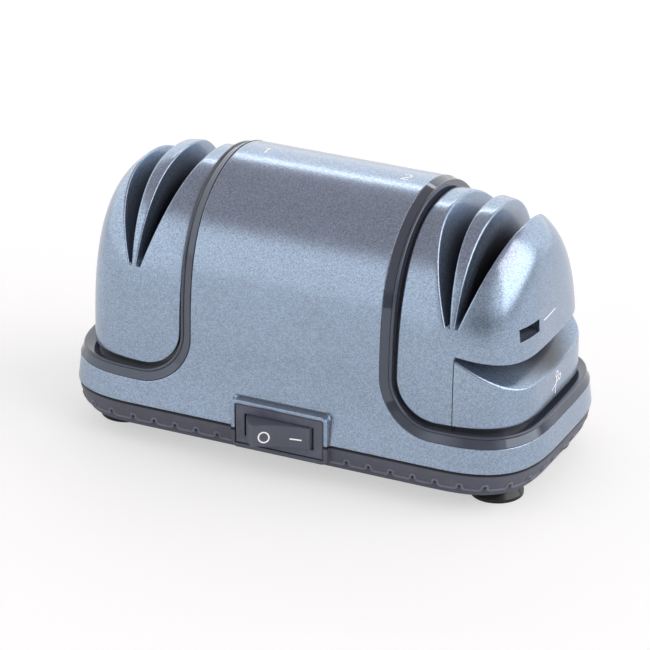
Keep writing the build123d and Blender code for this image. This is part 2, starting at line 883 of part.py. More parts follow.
def motor_cradle():
    """Two saddles, two clamp posts and two dust walls, standing on the floor."""
    top = base_z + floor
    parts = []
    saddle = shaft_rod(-cradle_x - 5, cradle_x + 5, motor_radius + cradle_gap)
    for sx in (-1, 1):
        x0 = sx * cradle_x - cradle_thickness / 2
        x1 = sx * cradle_x + cradle_thickness / 2
        rib = block(x0, x1, -cradle_half_width, cradle_half_width, top - 0.5, shaft_z - 6.0)
        parts.append(rib - saddle)
        inner = sx * dust_wall_x
        outer = sx * (dust_wall_x + dust_wall_thickness)
        parts.append(
            block(
                inner, outer, -dust_wall_half_width, dust_wall_half_width,
                top - 0.5, dust_wall_top,
            )
        )
        parts.append(rod(0, sx * clamp_post_y, top - 0.5, clamp_post_z, boss_radius))
    return parts


def base_tray():
    top = seam_z - seam_gap
    top_end, top_side = band_outline(top)
    foot_end, foot_side = band_outline(band_foot_z)
    strip_end, strip_side = foot_end - band_recess, foot_side - band_recess
    levels = [top, top - 2.0, top - 4.0, band_foot_z]
    band = plan_loft([(*band_outline(z), z) for z in levels])
    for tool in notch_tools():
        band = band - tool
    strip = plan_loft(
        [
            (strip_end, strip_side, band_foot_z),
            (strip_end - strip_lean_x, strip_side - strip_lean_y, base_z),
        ]
    )
    floor_z = base_z + floor
    room = plan_loft(
        [
            (top_end - wall, top_side - wall, top + 5),
            (strip_end - strip_lean_x - wall, strip_side - strip_lean_y - wall, floor_z),
        ]
    )
    lip_out = wall + lip_gap
    lip_end = half_length - lip_out - 0.3
    lip_side = half_width - lip_out - 0.3
    lip_top = top + lip_height
    lip = plan_loft(
        [
            (lip_end, lip_side, top - 2.0),
            (lip_end, lip_side, top),
            (lip_end - lip_lean, lip_side - lip_lean, lip_top),
        ]
    )
    lip_room = plan_loft(
        [
            (lip_end - lip_wall, lip_side - lip_wall, top - 3.0),
            (lip_end - lip_wall, lip_side - lip_wall, top),
            (lip_end - lip_wall - lip_lean, lip_side - lip_wall - lip_lean, lip_top),
        ]
    )
    body = band + strip + surround_frame(surround_foot, top)
    body = body + bush_pad(top - bush_collar - 0.2, top)
    body = body - room
    body = body + (lip - lip_room)
    for part in motor_cradle():
        body = body + part
    cuts = []
    for x, y in screw_places():
        body = body + rod(x, y, floor_z - 0.5, boss_foot_z, post_radius)
        cuts.append(rod(x, y, 0, base_z + head_seat, head_well_radius))
        cuts.append(rod(x, y, 0, boss_foot_z + 1, screw_radius + screw_clearance))
    for sx in (-1, 1):
        for sy in (-1, 1):
            cuts.append(rod(sx * foot_x, sy * foot_y, 0, 20, foot_stem_radius + fit_gap))
        cuts.append(rod(0, sx * clamp_post_y, clamp_post_z - 12, 60, 1.3 + screw_clearance))
    for k in range(vent_count):
        y = (k - (vent_count - 1) / 2) * vent_pitch
        y0 = y - vent_width / 2
        y1 = y + vent_width / 2
        for sx in (-1, 1):
            near = sx * vent_x - vent_length / 2
            cuts.append(block(near, near + vent_length, y0, y1, 0, floor_z + 1.0))
    for cut in cuts:
        body = body - cut
    return body - switch_cut() - bush_cut()


def foot(x, y):
    """Suction foot: a hollow cup on a stem that snaps through the floor."""
    head_z = base_z + floor + fit_gap
    outline = Polyline(
        (0, foot_cup_depth),
        (foot_radius - foot_cup_rim, 0),
        (foot_radius, 0),
        (foot_radius, foot_rim),
        (foot_neck_radius, base_z),
        (foot_stem_radius, base_z),
        (foot_stem_radius, head_z),
        (foot_head_radius, head_z),
        (foot_stem_radius, head_z + foot_head_height),
        (0, head_z + foot_head_height),
        close=True,
    )
    cup = revolve(make_face(Plane.XZ * outline), axis=Axis.Z)
    return Location((x, y, 0)) * cup


# --- switch --------------------------------------------------------------------------------
def switch_body():
    flange = block(
        -bezel_length / 2, bezel_length / 2, -bezel_front, -bezel_back,
        switch_z - bezel_height / 2, switch_z + bezel_height / 2,
    )
    front_edges = flange.faces().sort_by(Axis.Y)[0].edges()
    flange = chamfer(front_edges, 0.4)
    box = block(
        -switch_body_length / 2, switch_body_length / 2, -bezel_back - 0.5, -switch_back,
        switch_z - switch_body_height / 2, switch_z + switch_body_height / 2,
    )
    opening = block(
        -rocker_opening_length / 2, rocker_opening_length / 2, -bezel_front - 1,
        pivot_y + rocker_leg + 2.6,
        switch_z - rocker_opening_height / 2, switch_z + rocker_opening_height / 2,
    )
    reach = rocker_opening_height / 2 - rocker_side_gap + pivot_length + 0.1
    pivot = rod(0, pivot_y, switch_z - reach, switch_z + reach, pivot_radius + running_gap)
    return flange + box - opening - pivot


def rocker_point(radius, degrees):
    """Point of the rocker's outline, measured from upright about the pivot, mid way."""
    angle = math.radians(degrees)
    return (radius * math.sin(angle), -radius * math.cos(angle))


def switch_rocker():
    half = rocker_opening_height / 2 - rocker_side_gap
    r = rocker_radius
    mid = (rocker_spread + rocker_skirt) / 2
    left_tip = rocker_point(r, -rocker_spread)
    right_tip = rocker_point(r, rocker_spread)
    left_low = rocker_point(r, -rocker_skirt)
    right_low = rocker_point(r, rocker_skirt)
    edges = [
        ThreePointArc(left_tip, (0, -rocker_valley), right_tip),
        ThreePointArc(right_tip, rocker_point(r, mid), right_low),
        Line(right_low, left_low),
        ThreePointArc(left_low, rocker_point(r, -mid), left_tip),
    ]
    outline = make_face(Wire(edges))
    outline = outline + Circle(rocker_boss_radius)
    leg = Pos(0, rocker_leg / 2) * Rectangle(rocker_leg_width, rocker_leg)
    outline = outline + leg
    body = extrude(outline, amount=half, both=True)
    body = body + Cylinder(pivot_radius, 2 * (half + pivot_length))
    return Location((0, pivot_y, switch_z), (0, 0, rocker_throw / 2)) * body


def switch_terminals():
    tabs = []
    for sx in (-1, 1):
        x = sx * terminal_spacing / 2
        tabs.append(
            block(
                x - terminal_thickness / 2, x + terminal_thickness / 2,
                -switch_back, -switch_back + terminal_length,
                switch_z - terminal_width / 2, switch_z + terminal_width / 2,
            )
        )
    return tabs


def cable_bush():
    """Stepped bush with a through bore for the cord, held between housing and base."""
    outer = pad_front + bush_collar_gap
    inner = pad_back - bush_collar_gap
    body = bush_rod(inner - 1.0, outer + 1.0, bush_sleeve)
    body = body + bush_rod(outer, outer + bush_collar_thickness, bush_collar)
    body = body + bush_rod(inner - bush_inner_thickness, inner, bush_inner_collar)
    return body - bush_rod(inner - 10, outer + 10, bush_bore)


# --- motor and wheels ------------------------------------------------------------------------
def tube(x0, x1, outer, inner):
    return shaft_rod(x0, x1, outer) - shaft_rod(x0 - 1, x1 + 1, inner)


motor_half = motor_length / 2
magnet_outer = motor_radius - can_wall
magnet_inner = magnet_outer - magnet_thickness
core_radius = magnet_inner - air_gap


def motor_can():
    return tube(-motor_half, motor_half, motor_radius, magnet_outer)


def end_cap_right():
    plate = shaft_rod(motor_half, motor_half + end_cap, motor_radius)
    boss = shaft_rod(motor_half, motor_half + end_cap + bush_boss_length, bush_boss_radius)
    hole = shaft_rod(motor_half - 1, motor_half + 20, bush_radius)
    return plate + boss - hole


def bush_right():
    return tube(
        motor_half, motor_half + end_cap + bush_boss_length, bush_radius,
        shaft_radius + running_gap,
    )


def rear_magnet():
    ring = tube(-magnet_length / 2, magnet_length / 2, magnet_outer, magnet_inner)
    half_arc = magnet_arc / 2
    far = motor_radius * 2
    y = far * math.cos(math.radians(half_arc))
    z = far * math.sin(math.radians(half_arc))
    wedge_line = Polyline(
        (-motor_half, 0, shaft_z), (-motor_half, y, shaft_z + z),
        (-motor_half, far, shaft_z + z), (-motor_half, far, shaft_z - z),
        (-motor_half, y, shaft_z - z), close=True,
    )
    wedge = extrude(make_face(wedge_line), amount=motor_length, dir=(1, 0, 0))
    return ring & wedge


def armature_core():
    body = tube(-core_length / 2, core_length / 2, core_radius, shaft_radius)
    for k in range(core_poles):
        angle = 360.0 * k / core_poles
        slot = block(
            -core_length, core_length, -core_slot_width / 2, core_slot_width / 2, 8.0, 30.0
        )
        spin = Location((0, 0, shaft_z)) * Rotation(angle, 0, 0)
        body = body - spin * slot
    return body


def armature_windings():
    """End turns: one rounded coil hump on each pole, at both ends of the core."""
    humps = []
    for sx in (-1, 1):
        x0 = sx * core_length / 2
        x1 = sx * (core_length / 2 + winding_overhang)
        ring = tube(min(x0, x1), max(x0, x1), core_radius - 1.2, shaft_radius)
        for k in range(core_poles):
            slot = block(-60, 60, -core_slot_width / 2, core_slot_width / 2, 8.0, 30.0)
            spin = Location((0, 0, shaft_z)) * Rotation(360.0 * k / core_poles, 0, 0)
            ring = ring - spin * slot
        humps.append(ring)
    return humps


def commutator_place():
    x0 = -core_length / 2 - winding_overhang
    return x0 - commutator_length, x0


def commutator():
    x0, x1 = commutator_place()
    return tube(x0, x1, commutator_radius, shaft_radius)


def motor_brushes():
    x0, x1 = commutator_place()
    middle = (x0 + x1) / 2
    blocks = []
    for sz in (-1, 1):
        near = shaft_z + sz * (commutator_radius + 0.1)
        far = shaft_z + sz * (magnet_outer - 0.3)
        blocks.append(
            block(
                middle - brush_width / 2, middle + brush_width / 2,
                -brush_height / 2, brush_height / 2, near, far,
            )
        )
    return blocks


def motor_shaft():
    rod_ = shaft_rod(-shaft_end, shaft_end, shaft_radius)
    return chamfer(rod_.edges(), 0.4)


def grinding_wheel_right():
    """Wheel with a narrow flat rim and two bevels that meet the knife's edge."""
    half_rim = wheel_rim / 2
    half = wheel_thickness / 2
    shoulder = wheel_radius - (half - half_rim) / math.tan(math.radians(wheel_bevel))
    outline = Polyline(
        (-half, hub_radius), (half, hub_radius), (half, shoulder),
        (half_rim, wheel_radius), (-half_rim, wheel_radius), (-half, shoulder),
        close=True,
    )
    body = revolve(make_face(outline), axis=Axis.X)
    return Location((wheel_x, 0, shaft_z)) * body


def wheel_hub_right():
    inner = wheel_x - wheel_thickness / 2
    body = shaft_rod(inner - hub_flange, inner, hub_flange_radius)
    body = body + shaft_rod(inner - hub_flange, inner + wheel_thickness, hub_radius)
    return body - shaft_rod(0, shaft_end, shaft_radius)


def wheel_washer_right():
    x0 = wheel_x + wheel_thickness / 2
    return tube(x0, x0 + washer_thickness, washer_radius, shaft_radius)


def wheel_nut_right():
    x0 = wheel_x + wheel_thickness / 2 + washer_thickness
    hexagon = Plane.YZ * RegularPolygon(nut_flats / 2, 6, major_radius=False)
    body = Location((x0, 0, shaft_z)) * extrude(hexagon, amount=nut_height)
    return body - shaft_rod(0, shaft_end + 1, shaft_radius)


def motor_clamp():
    """Steel strap over the motor with two screwed tabs."""
    inner = motor_radius + cradle_gap
    outer = inner + clamp_thickness
    half = clamp_width / 2
    hoop = tube(-half, half, outer, inner)
    hoop = hoop & block(-half, half, -40, 40, clamp_post_z, 80)
    body = hoop
    for sy in (-1, 1):
        reach = math.sqrt(inner ** 2 - (shaft_z - clamp_post_z) ** 2)
        tab = block(
            -half, half, sy * (reach + 0.1), sy * (reach + 0.1 + clamp_tab),
            clamp_post_z, clamp_post_z + clamp_thickness,
        )
        body = body + (tab - shaft_rod(-20, 20, inner))
        body = body - rod(0, sy * clamp_post_y, 30, 50, 1.3 + screw_clearance)
    return body


def pan_screw(x, y, seat_z, up, length, radius, head_radius, head_height):
    """Screw on an upright axis. up is 1 where its point is above the head."""
    shank = rod(x, y, seat_z, seat_z + up * length, radius)
    head = rod(x, y, seat_z - up * head_height, seat_z, head_radius)
    return head + shank


def clamp_screws():
    seat = clamp_post_z + clamp_thickness
    return [
        pan_screw(0, sy * clamp_post_y, seat, -1, 10.0, 1.3, 2.4, 1.8) for sy in (-1, 1)
    ]


def base_screws(places, length):
    seat = base_z + head_seat
    return [
        pan_screw(
            x, y, seat, 1, length, screw_radius, screw_head_radius, screw_head_height
        )
        for x, y in places
    ]


board_front = -dust_wall_x + board_thickness


def rectifier_board():
    return block(
        -dust_wall_x, board_front, -board_width / 2, board_width / 2,
        base_z + floor, base_z + floor + board_height,
    )


def board_components():
    """Four diodes and a small capacitor on the board."""
    z = base_z + floor + board_height / 2
    pieces = []
    for k in range(4):
        y = -12.0 + 5.0 * k
        pieces.append(block(board_front, board_front + 2.6, y - 1.3, y + 1.3, z - 3, z + 3))
    can = Location((board_front + 1.9, 12.0, z), (0, 90, 0)) * Cylinder(3.4, 3.8)
    pieces.append(can)
    return pieces


# --- writing the nodes -----------------------------------------------------------------------
def save(name, shape):
    """Write one node, moved so that the bounding box is centred on the origin."""
    solids = []
    for item in shape if isinstance(shape, list) else [shape]:
        solids += item.solids()
    moved = [Location((0, centre_shift, 0)) * solid for solid in solids]
    result = moved[0] if len(moved) == 1 else Compound(children=moved)
    export_step(result, f"parts/{name}.step")


def main():
    os.makedirs("parts", exist_ok=True)
    housing_places = []
    cover_places = []
    for x, y in screw_places():
        target = housing_places if abs(x) == housing_boss_x else cover_places
        target.append((x, y))
    save("main_housing", main_housing())
    save("left_cover", left_cover())
    save("right_cover", right_cover())
    save("scissor_guide", scissor_guide())
    save("right_trim", right_trim())
    save("left_trim", left_trim())
    save("base_tray", base_tray())
    for name, sx, sy in (
        ("foot_front_left", -1, -1),
        ("foot_front_right", 1, -1),
        ("foot_rear_left", -1, 1),
        ("foot_rear_right", 1, 1),
    ):
        save(name, foot(sx * foot_x, sy * foot_y))
    save("switch_body", switch_body())
    save("switch_rocker", switch_rocker())
    save("switch_terminals", switch_terminals())
    save("cable_bush", cable_bush())
    save("housing_screws", base_screws(housing_places, screw_length))
    save("cover_screws", base_screws(cover_places, screw_length))
    save("motor_can", motor_can())
    save("right_end_cap", end_cap_right())
    save("left_end_cap", mirrored_x(end_cap_right()))
    save("right_bush", bush_right())
    save("left_bush", mirrored_x(bush_right()))
    save("rear_magnet", rear_magnet())
    save("front_magnet", mirrored_y(rear_magnet()))
    save("motor_brushes", motor_brushes())
    save("motor_shaft", motor_shaft())
    save("armature_core", armature_core())
    save("armature_windings", armature_windings())
    save("commutator", commutator())
    for side, turn in (("right", lambda s: s), ("left", mirrored_x)):
        wheel = "fine_wheel" if side == "right" else "coarse_wheel"
        save(wheel, turn(grinding_wheel_right()))
        save(f"{side}_wheel_hub", turn(wheel_hub_right()))
        save(f"{side}_wheel_washer", turn(wheel_washer_right()))
        save(f"{side}_wheel_nut", turn(wheel_nut_right()))
    save("motor_clamp", motor_clamp())
    save("clamp_screws", clamp_screws())
    save("rectifier_board", rectifier_board())
    save("board_components", board_components())


main()
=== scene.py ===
import math

import bmesh
import bpy
import numpy as np
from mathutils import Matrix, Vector


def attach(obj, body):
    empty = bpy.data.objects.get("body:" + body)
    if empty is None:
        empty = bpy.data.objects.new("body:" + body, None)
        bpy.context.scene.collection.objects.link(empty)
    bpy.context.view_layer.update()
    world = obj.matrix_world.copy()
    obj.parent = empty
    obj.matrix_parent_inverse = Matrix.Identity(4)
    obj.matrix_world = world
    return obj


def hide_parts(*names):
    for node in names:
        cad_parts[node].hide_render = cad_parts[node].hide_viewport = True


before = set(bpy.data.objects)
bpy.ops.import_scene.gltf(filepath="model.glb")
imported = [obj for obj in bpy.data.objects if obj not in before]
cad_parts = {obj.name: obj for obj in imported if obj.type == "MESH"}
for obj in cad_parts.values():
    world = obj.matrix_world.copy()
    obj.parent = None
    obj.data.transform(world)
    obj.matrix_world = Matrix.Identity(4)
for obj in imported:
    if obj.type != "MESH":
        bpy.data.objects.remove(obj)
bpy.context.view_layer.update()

# Every size below is in millimetres about the body's middle plane. place() turns it into metres
# and moves it back by CENTRE_SHIFT, which puts the origin at the centre of the whole part's box.
MM = 0.001
CENTRE_SHIFT = 2.9230934
MIRROR, TO_BACK = (-1.0, 1.0, 1.0), (1.0, -1.0, 1.0)  # to the other end, and to the back

# --- sizes shared with the solids -----------------------------------------------------------
BODY_HEIGHT = 96.0
HALF_LENGTH, HALF_WIDTH = 85.0, 40.8
SEAM_Z, SEAM_GAP, DECK_Z = 15.2, 0.3, 23.7
END_DRAFT = 0.66
PLAN_STRAIGHT, PLAN_POWER_X, PLAN_POWER_Y = 54.0, 2.6, 4.0
ARCH_END, ARCH_HALF, ARCH_SPRING_Z = 34.2, 38.1, 26.2
ARCH_POWER_Z, ARCH_POWER_Y = 4.0, 1.88
FLARE_Z = 40.0
FLARE_RATE = (HALF_WIDTH - ARCH_HALF) / (FLARE_Z - SEAM_Z) ** 2
CORNER_RADIUS = 19.0
CORNER_X, CORNER_Z = ARCH_END + CORNER_RADIUS, DECK_Z + CORNER_RADIUS
TRIM_GAP, TRIM_WIDTH, CHANNEL = 0.1, 3.7, 1.3
COVER_EDGE = TRIM_GAP + TRIM_WIDTH + CHANNEL
SILL_Z = DECK_Z + COVER_EDGE
COVER_SPRING_Z = 25.1
COVER_HALF = ARCH_HALF + FLARE_RATE * (FLARE_Z - DECK_Z) ** 2 - 3.1
COVER_RISE = BODY_HEIGHT - 3.4 - COVER_SPRING_Z
DOME_LENGTH = 30.1
DOME_X = HALF_LENGTH - END_DRAFT - 5.5 - DOME_LENGTH * 0.983
COVER_POWER_Y, COVER_POWER_Z = 2.29, 3.09
NOSE_Y, NOSE_YP = 2.61, 4.37
NOSE_Z, NOSE_ZP = 2.36, 6.07
GROOVE = 1.5
WHEEL_X, SHAFT_Z = 57.2, 40.0
WELL_RADIUS, WELL_HALF = 25.2, 5.2
SLOT_FLOOR_Z = 62.0
SLOT_EDGES = (-2.09, -0.75, 1.09, 1.85)
SLOT_LEANS = (-18.1, -4.4, 2.5, 19.4)
DRIVER_AT, DRIVER_TURN = (78.4, -17.6, 58.9), -22.0
DRIVER_HALF_WIDTH, DRIVER_HALF_HEIGHT, DRIVER_DEPTH = 5.4, 2.15, 7.0
GUIDE_SEAM_X, GUIDE_SEAM_GAP, GUIDE_BULGE = 58.8, 0.3, 1.3
ROOF_Z, ROOF_FALL = 53.0, 0.17
RAMP_Z, RAMP_FALL = 51.9, 0.55
BASE_Z, BAND_FOOT_Z = 6.5, 9.0
BAND_LEAN_X, BAND_LEAN_Y, BAND_CURVE = 3.4, 1.3, 1.6
NOTCH_PITCH, NOTCH_RADIUS, NOTCH_FLARE = 7.87, 0.95, 1.0
SWITCH_Z, BEZEL_HALF, BEZEL_HEIGHT, BEZEL_FRONT = 17.0, 16.0, 14.2, 41.9
ROCKER_PIVOT_Y, ROCKER_RADIUS, ROCKER_VALLEY = -38.5, 12.2, 6.5
ROCKER_HALF, ROCKER_TURN, ROCKER_TIP, ROCKER_BACK = 3.9, 18.0, 50.0, 95.0
PAD_HALF, PAD_TOP, PAD_FRONT = 8.5, 22.8, 40.9

# --- finer forms that only the surfaces here have -------------------------------------------
EDGE_ROLL = 0.4              # rounding where a painted shell meets a trim
SLOT_ROLL = 0.75             # rounding of the knife slots' edges
SEAM_ROLL = 0.35             # rounding at the seam between housing and base
MOUTH_ROLL = 0.5             # rounding of the scissor opening's upper edge
RAMP_ROLL = 0.7              # and of its lower one
ROCKER_ROLL = 0.35           # rounding of the rocker's edges
FRAME_ROLL = 0.3             # rounding of the switch frame's front rim
FRAME_PROUD, FRAME_CORNER = 0.2, 0.7  # how far that frame stands out, and its inner corner
SHELL_TURN_IN = 2.4          # depth to which the housing's edges turn inwards
COVER_TUCK = 3.8             # how far a cover's edge runs back under the trim
SEAM_TUCK = 3.0              # and how far the faces at the guide's seam run inwards
END_LEAN, SIDE_LEAN = 0.078, 0.142   # rise of the deck's outward direction, at end and side
HOLE_HALF, HOLE_TOP = 17.0, 24.9     # free behind the switch
INLET_HALF, INLET_TOP = 4.5, 19.6    # free behind the cable bush
BEAD_RADIUS, BEAD_FLAT, BEAD_SINK = 0.46, 0.9, 0.10  # bar along the base band's edge
SHADE_REACH = 8.0            # depth in a slot at which the painted shade is full
SECTION_DEPTH = 36.0         # depth for which a cover's section level falls from 1 to 0
MARK_LIFT = 0.03             # printed marks lie this far above the surface
CREASE = 38.0                # degrees of bend from which an edge stays crisp
MERGE = 4e-6                 # metres under which two points of a mesh are one


# --- putting arrays of points into meshes ---------------------------------------------------
def spots(*parts):
    """Points from their coordinates, which are arrays or numbers that fit one another."""
    return np.stack(np.broadcast_arrays(*parts), -1)


def place(points):
    """Points in millimetres about the middle plane, as metres in the part's own frame."""
    return (np.asarray(points, float) + (0.0, CENTRE_SHIFT, 0.0)) * MM


def grid_faces(rows, columns, wrap=False):
    """Four corners of each cell of a grid stored row by row; wrap joins the last column."""
    row = np.arange(rows - 1)[:, None] * columns
    c = np.arange(columns if wrap else columns - 1)
    after = (c + 1) % columns
    return spots(row + c, row + after, row + columns + after, row + columns + c).reshape(-1, 4)


def join(patches, drop=None):
    """Points and faces of several grids. A patch is rows x columns x 3, or that and True where
    its last column meets its first. drop(centres) says which faces are left out."""
    points, faces, start = [], [], 0
    for patch in patches:
        grid, wrap = patch if isinstance(patch, tuple) else (patch, False)
        points.append(grid.reshape(-1, 3))
        faces.append(grid_faces(*grid.shape[:2], wrap) + start)
        start += len(points[-1])
    points, faces = np.concatenate(points), np.concatenate(faces)
    return points, faces if drop is None else faces[~drop(points[faces].mean(axis=1))]


def make_piece(name, patches, material, body="body", slot=None, replaces=(), drop=None,
               finish=None, toward=None, inside=None):
    """One piece from several grids, riding on its body. Shared borders are merged, faces are
    turned outwards or towards a given direction, and edges that bend by more than CREASE stay
    crisp. finish(work) may cut the mesh, and inside(points) gives each point's share of painted
    shade, kept as a vertex value that darkens the paint."""
    points, faces = join(patches, drop)
    mesh = bpy.data.meshes.new(name)
    mesh.from_pydata(place(points).tolist(), [], faces.tolist())
    work = bmesh.new()
    work.from_mesh(mesh)
    bmesh.ops.remove_doubles(work, verts=work.verts, dist=MERGE)
    bmesh.ops.dissolve_degenerate(work, edges=work.edges, dist=1e-7)
    bmesh.ops.delete(work, geom=[v for v in work.verts if not v.link_faces], context="VERTS")
    if finish:
        finish(work)
    if toward:
        turned_away = [f for f in work.faces if f.normal.dot(Vector(toward)) < 0]
        bmesh.ops.reverse_faces(work, faces=turned_away)
    else:
        turn_outwards(work)
    work.to_mesh(mesh)
    work.free()
    if inside:
        flat = np.empty(len(mesh.vertices) * 3)
        mesh.vertices.foreach_get("co", flat)
        # Painted shade: each point's share is stored as a vertex value that the paint reads.
        recess_shade = inside(flat.reshape(-1, 3) / MM - (0.0, CENTRE_SHIFT, 0.0))
        mesh.attributes.new("recess_shade", "FLOAT", "POINT").data.foreach_set("value", recess_shade)
    mesh.polygons.foreach_set("use_smooth", np.ones(len(mesh.polygons), bool))
    mesh.set_sharp_from_angle(angle=math.radians(CREASE))
    mesh.update()
    mesh.materials.append(material)
    piece = bpy.data.objects.new(name, mesh)
    bpy.context.scene.collection.objects.link(piece)
    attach(piece, body)
    if replaces:
        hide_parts(*replaces)


def turn_outwards(work):
    """Make each connected part's faces agree. A closed part points away from its own middle, an
    open one away from the middle of the whole piece."""
    bmesh.ops.recalc_face_normals(work, faces=work.faces)
    left = dict.fromkeys(work.faces)
    whole = sum((v.co for v in work.verts), Vector()) / len(work.verts)
    while left:
        group, edge = [], [next(iter(left))]
        while edge:
            face = edge.pop()
            if face in left:
                del left[face]
                group.append(face)
                edge += [f for e in face.edges for f in e.link_faces if f in left]
        parts = [(f.calc_area(), f.calc_center_median(), f.normal) for f in group]
        middle = whole
        if all(e.is_manifold for f in group for e in f.edges):
            middle = sum((a * c for a, c, _ in parts), Vector()) / sum(a for a, _, _ in parts)
        if sum(area * normal.dot(centre - middle) for area, centre, normal in parts) < 0:
            bmesh.ops.reverse_faces(work, faces=group)


def mirror_x(patches):
    """The same grids on the other side of the body's middle."""
    return [(p[0] * MIRROR, p[1]) if isinstance(p, tuple) else p * MIRROR for p in patches]


def both_sides(patches):
    """Front patches and their copies at the back."""
    return patches + [p * TO_BACK for p in patches]


def with_back(line):
    """A front line or patch that ends in the middle plane, carried on down the back."""
    return np.concatenate([line, line[::-1][1:] * TO_BACK])


def blend_strip(start, corner, end, steps=5):
    """Rounded edge between two lines of points: (1-t)^2 start + 2t(1-t) corner + t^2 end."""
    t = np.linspace(0, 1, steps)[:, None, None]
    return (1 - t) ** 2 * start + 2 * t * (1 - t) * corner + t ** 2 * end


def unit(v):
    """Vectors divided by their lengths."""
    return v / np.maximum(np.linalg.norm(v, axis=-1, keepdims=True), 1e-12)


def direction(line, closed=False):
    """Unit direction along a line of points, by central differences."""
    if closed:
        return unit(np.roll(line, -1, axis=0) - np.roll(line, 1, axis=0))
    return unit(np.gradient(line, axis=0))


def run_along(points):
    """Distance from the first point to each point of a chain."""
    step = np.linalg.norm(np.diff(points, axis=0), axis=1)
    return np.concatenate([[0], np.cumsum(step)])


def even(points, count, extra=None):
    """count points at even distances along a chain, with extra columns carried along."""
    run = run_along(points)
    at = np.linspace(0, run[-1], count)
    both = points if extra is None else np.hstack([points, extra])
    return spots(*(np.interp(at, run, column) for column in both.T))


# --- the body's outline ---------------------------------------------------------------------
def flank(z):
    """Half width of the front and back: 38.1 + rate * (40 - z)^2 below z = 40."""
    return ARCH_HALF + FLARE_RATE * np.maximum(FLARE_Z - z, 0.0) ** 2


def arch_half(z):
    """Half width of the arch: flank * (1 - h^4)^(1/1.88), h from 0 at the spring to 1 on top."""
    share = np.clip((z - ARCH_SPRING_Z) / (BODY_HEIGHT - ARCH_SPRING_Z), 0, 1)
    return flank(z) * (1 - share ** ARCH_POWER_Z) ** (1 / ARCH_POWER_Y)


def arch_height(y):
    """Height of the arch over a distance from the middle plane, close to the crown."""
    share = 1 - (np.abs(y) / ARCH_HALF) ** ARCH_POWER_Y
    return ARCH_SPRING_Z + (BODY_HEIGHT - ARCH_SPRING_Z) * share ** (1 / ARCH_POWER_Z)


def end_length(z):
    """Half length of the skirt, which leans in towards the deck."""
    return HALF_LENGTH - END_DRAFT * (z - SEAM_Z) / (DECK_Z - SEAM_Z)


def corner_curve(end, side, angle):
    """Quarter of the plan: x = 54 + (end - 54) sin^(2/2.6), y = side cos^(2/4)."""
    x = PLAN_STRAIGHT + (end - PLAN_STRAIGHT) * np.sin(angle) ** (2 / PLAN_POWER_X)
    y = side * np.maximum(np.cos(angle), 0.0) ** (2 / PLAN_POWER_Y)
    return x, np.where(angle > math.pi / 2 - 1e-9, 0.0, y)


def plan_angles(count):
    """Angles round the quarter plan, closer together where it turns most."""
    return math.pi / 2 * np.linspace(0, 1, count) ** 0.8


FINE_ANGLES = plan_angles(801)
ANGLES = even(spots(*corner_curve(HALF_LENGTH, HALF_WIDTH, FINE_ANGLES)), 47,
              FINE_ANGLES[:, None])[:, 2]
FRONT_BREAKS = (-1.0, -HOLE_HALF, -INLET_HALF, INLET_HALF, HOLE_HALF, 1.0)
FRONT_CELLS = (12, 5, 4, 5, 12)


def straight_columns(reach):
    """Stations along the front from -reach to reach; reach may be an array of one per row."""
    reach = np.atleast_1d(reach)
    marks = [reach * b if abs(b) == 1.0 else np.full_like(reach, b) for b in FRONT_BREAKS]
    columns = [marks[0]]
    for low, high, cells in zip(marks, marks[1:], FRONT_CELLS):
        columns += [low + (high - low) * k / cells for k in range(1, cells + 1)]
    return spots(*columns)


def skirt_ring(z, inset=0.0):
    """One closed turn round the housing's plan at height z, starting at the front left."""
    side = flank(z) - inset
    x, y = corner_curve(end_length(z) - inset, side, ANGLES)
    half = np.concatenate([spots(straight_columns(CORNER_X)[0], -side), spots(x, -y),
                           spots(x, y)[::-1][1:]])
    return spots(*np.concatenate([half, -half]).T, z)


# --- the line where housing, trim and cover meet --------------------------------------------
def window_line():
    """Closed line round the right window, at 460 even steps: points, directions into the window
    and outward normals. It comes down the arch's end, round a quarter circle of 19 mm and along
    the deck round the nose. The direction into the window is the normal crossed with the line's
    own direction."""
    z = BODY_HEIGHT - (BODY_HEIGHT - CORNER_Z) * np.linspace(0, 1, 160) ** 2
    arch = spots(ARCH_END, -arch_half(z), z)
    turn = np.linspace(math.pi, 1.5 * math.pi, 80)[1:]
    bend_z = CORNER_Z + CORNER_RADIUS * np.sin(turn)
    bend = spots(CORNER_X + CORNER_RADIUS * np.cos(turn), -flank(bend_z), bend_z)
    x, y = corner_curve(end_length(DECK_Z), flank(DECK_Z), plan_angles(300))
    front = np.concatenate([arch, bend, spots(x, -y, DECK_Z)])
    whole = even(np.concatenate([with_back(front)[:-1], front[:1]]), 461)[:-1]
    along = direction(whole, closed=True)
    h, step = whole[:, 2], 0.05
    rise = arch_half(h + step) - arch_half(np.minimum(h - step, BODY_HEIGHT))
    steep = unit(spots(0.0, np.sign(whole[:, 1]), -rise / (2 * step)))
    steep[h > BODY_HEIGHT - 0.02] = (0, 0, 1)
    east, north = along[:, 1], -along[:, 0]
    level = unit(spots(east, north, np.abs(east) * END_LEAN + np.abs(north) * SIDE_LEAN))
    normal = np.where((h < DECK_Z + 0.01)[:, None], level, steep)
    normal = unit(normal - along * (normal * along).sum(-1, keepdims=True))
    return whole, np.cross(normal, along), normal


WINDOW, INTO, OUT = window_line()


def sweep(profile):
    """Carry a profile of (into the window, outward) pairs round the window's line. A pair may
    hold arrays of one value per station."""
    return np.stack([WINDOW + INTO * np.reshape(t, (-1, 1)) + OUT * np.reshape(n, (-1, 1))
                     for t, n in profile]), True


def window_edge(z, grow):
    """Where the window's side lies at height z, moved by grow into the window."""
    radius = CORNER_RADIUS - grow
    drop = np.clip(CORNER_Z - z, 0, radius)
    return CORNER_X - np.sqrt(radius ** 2 - drop ** 2)


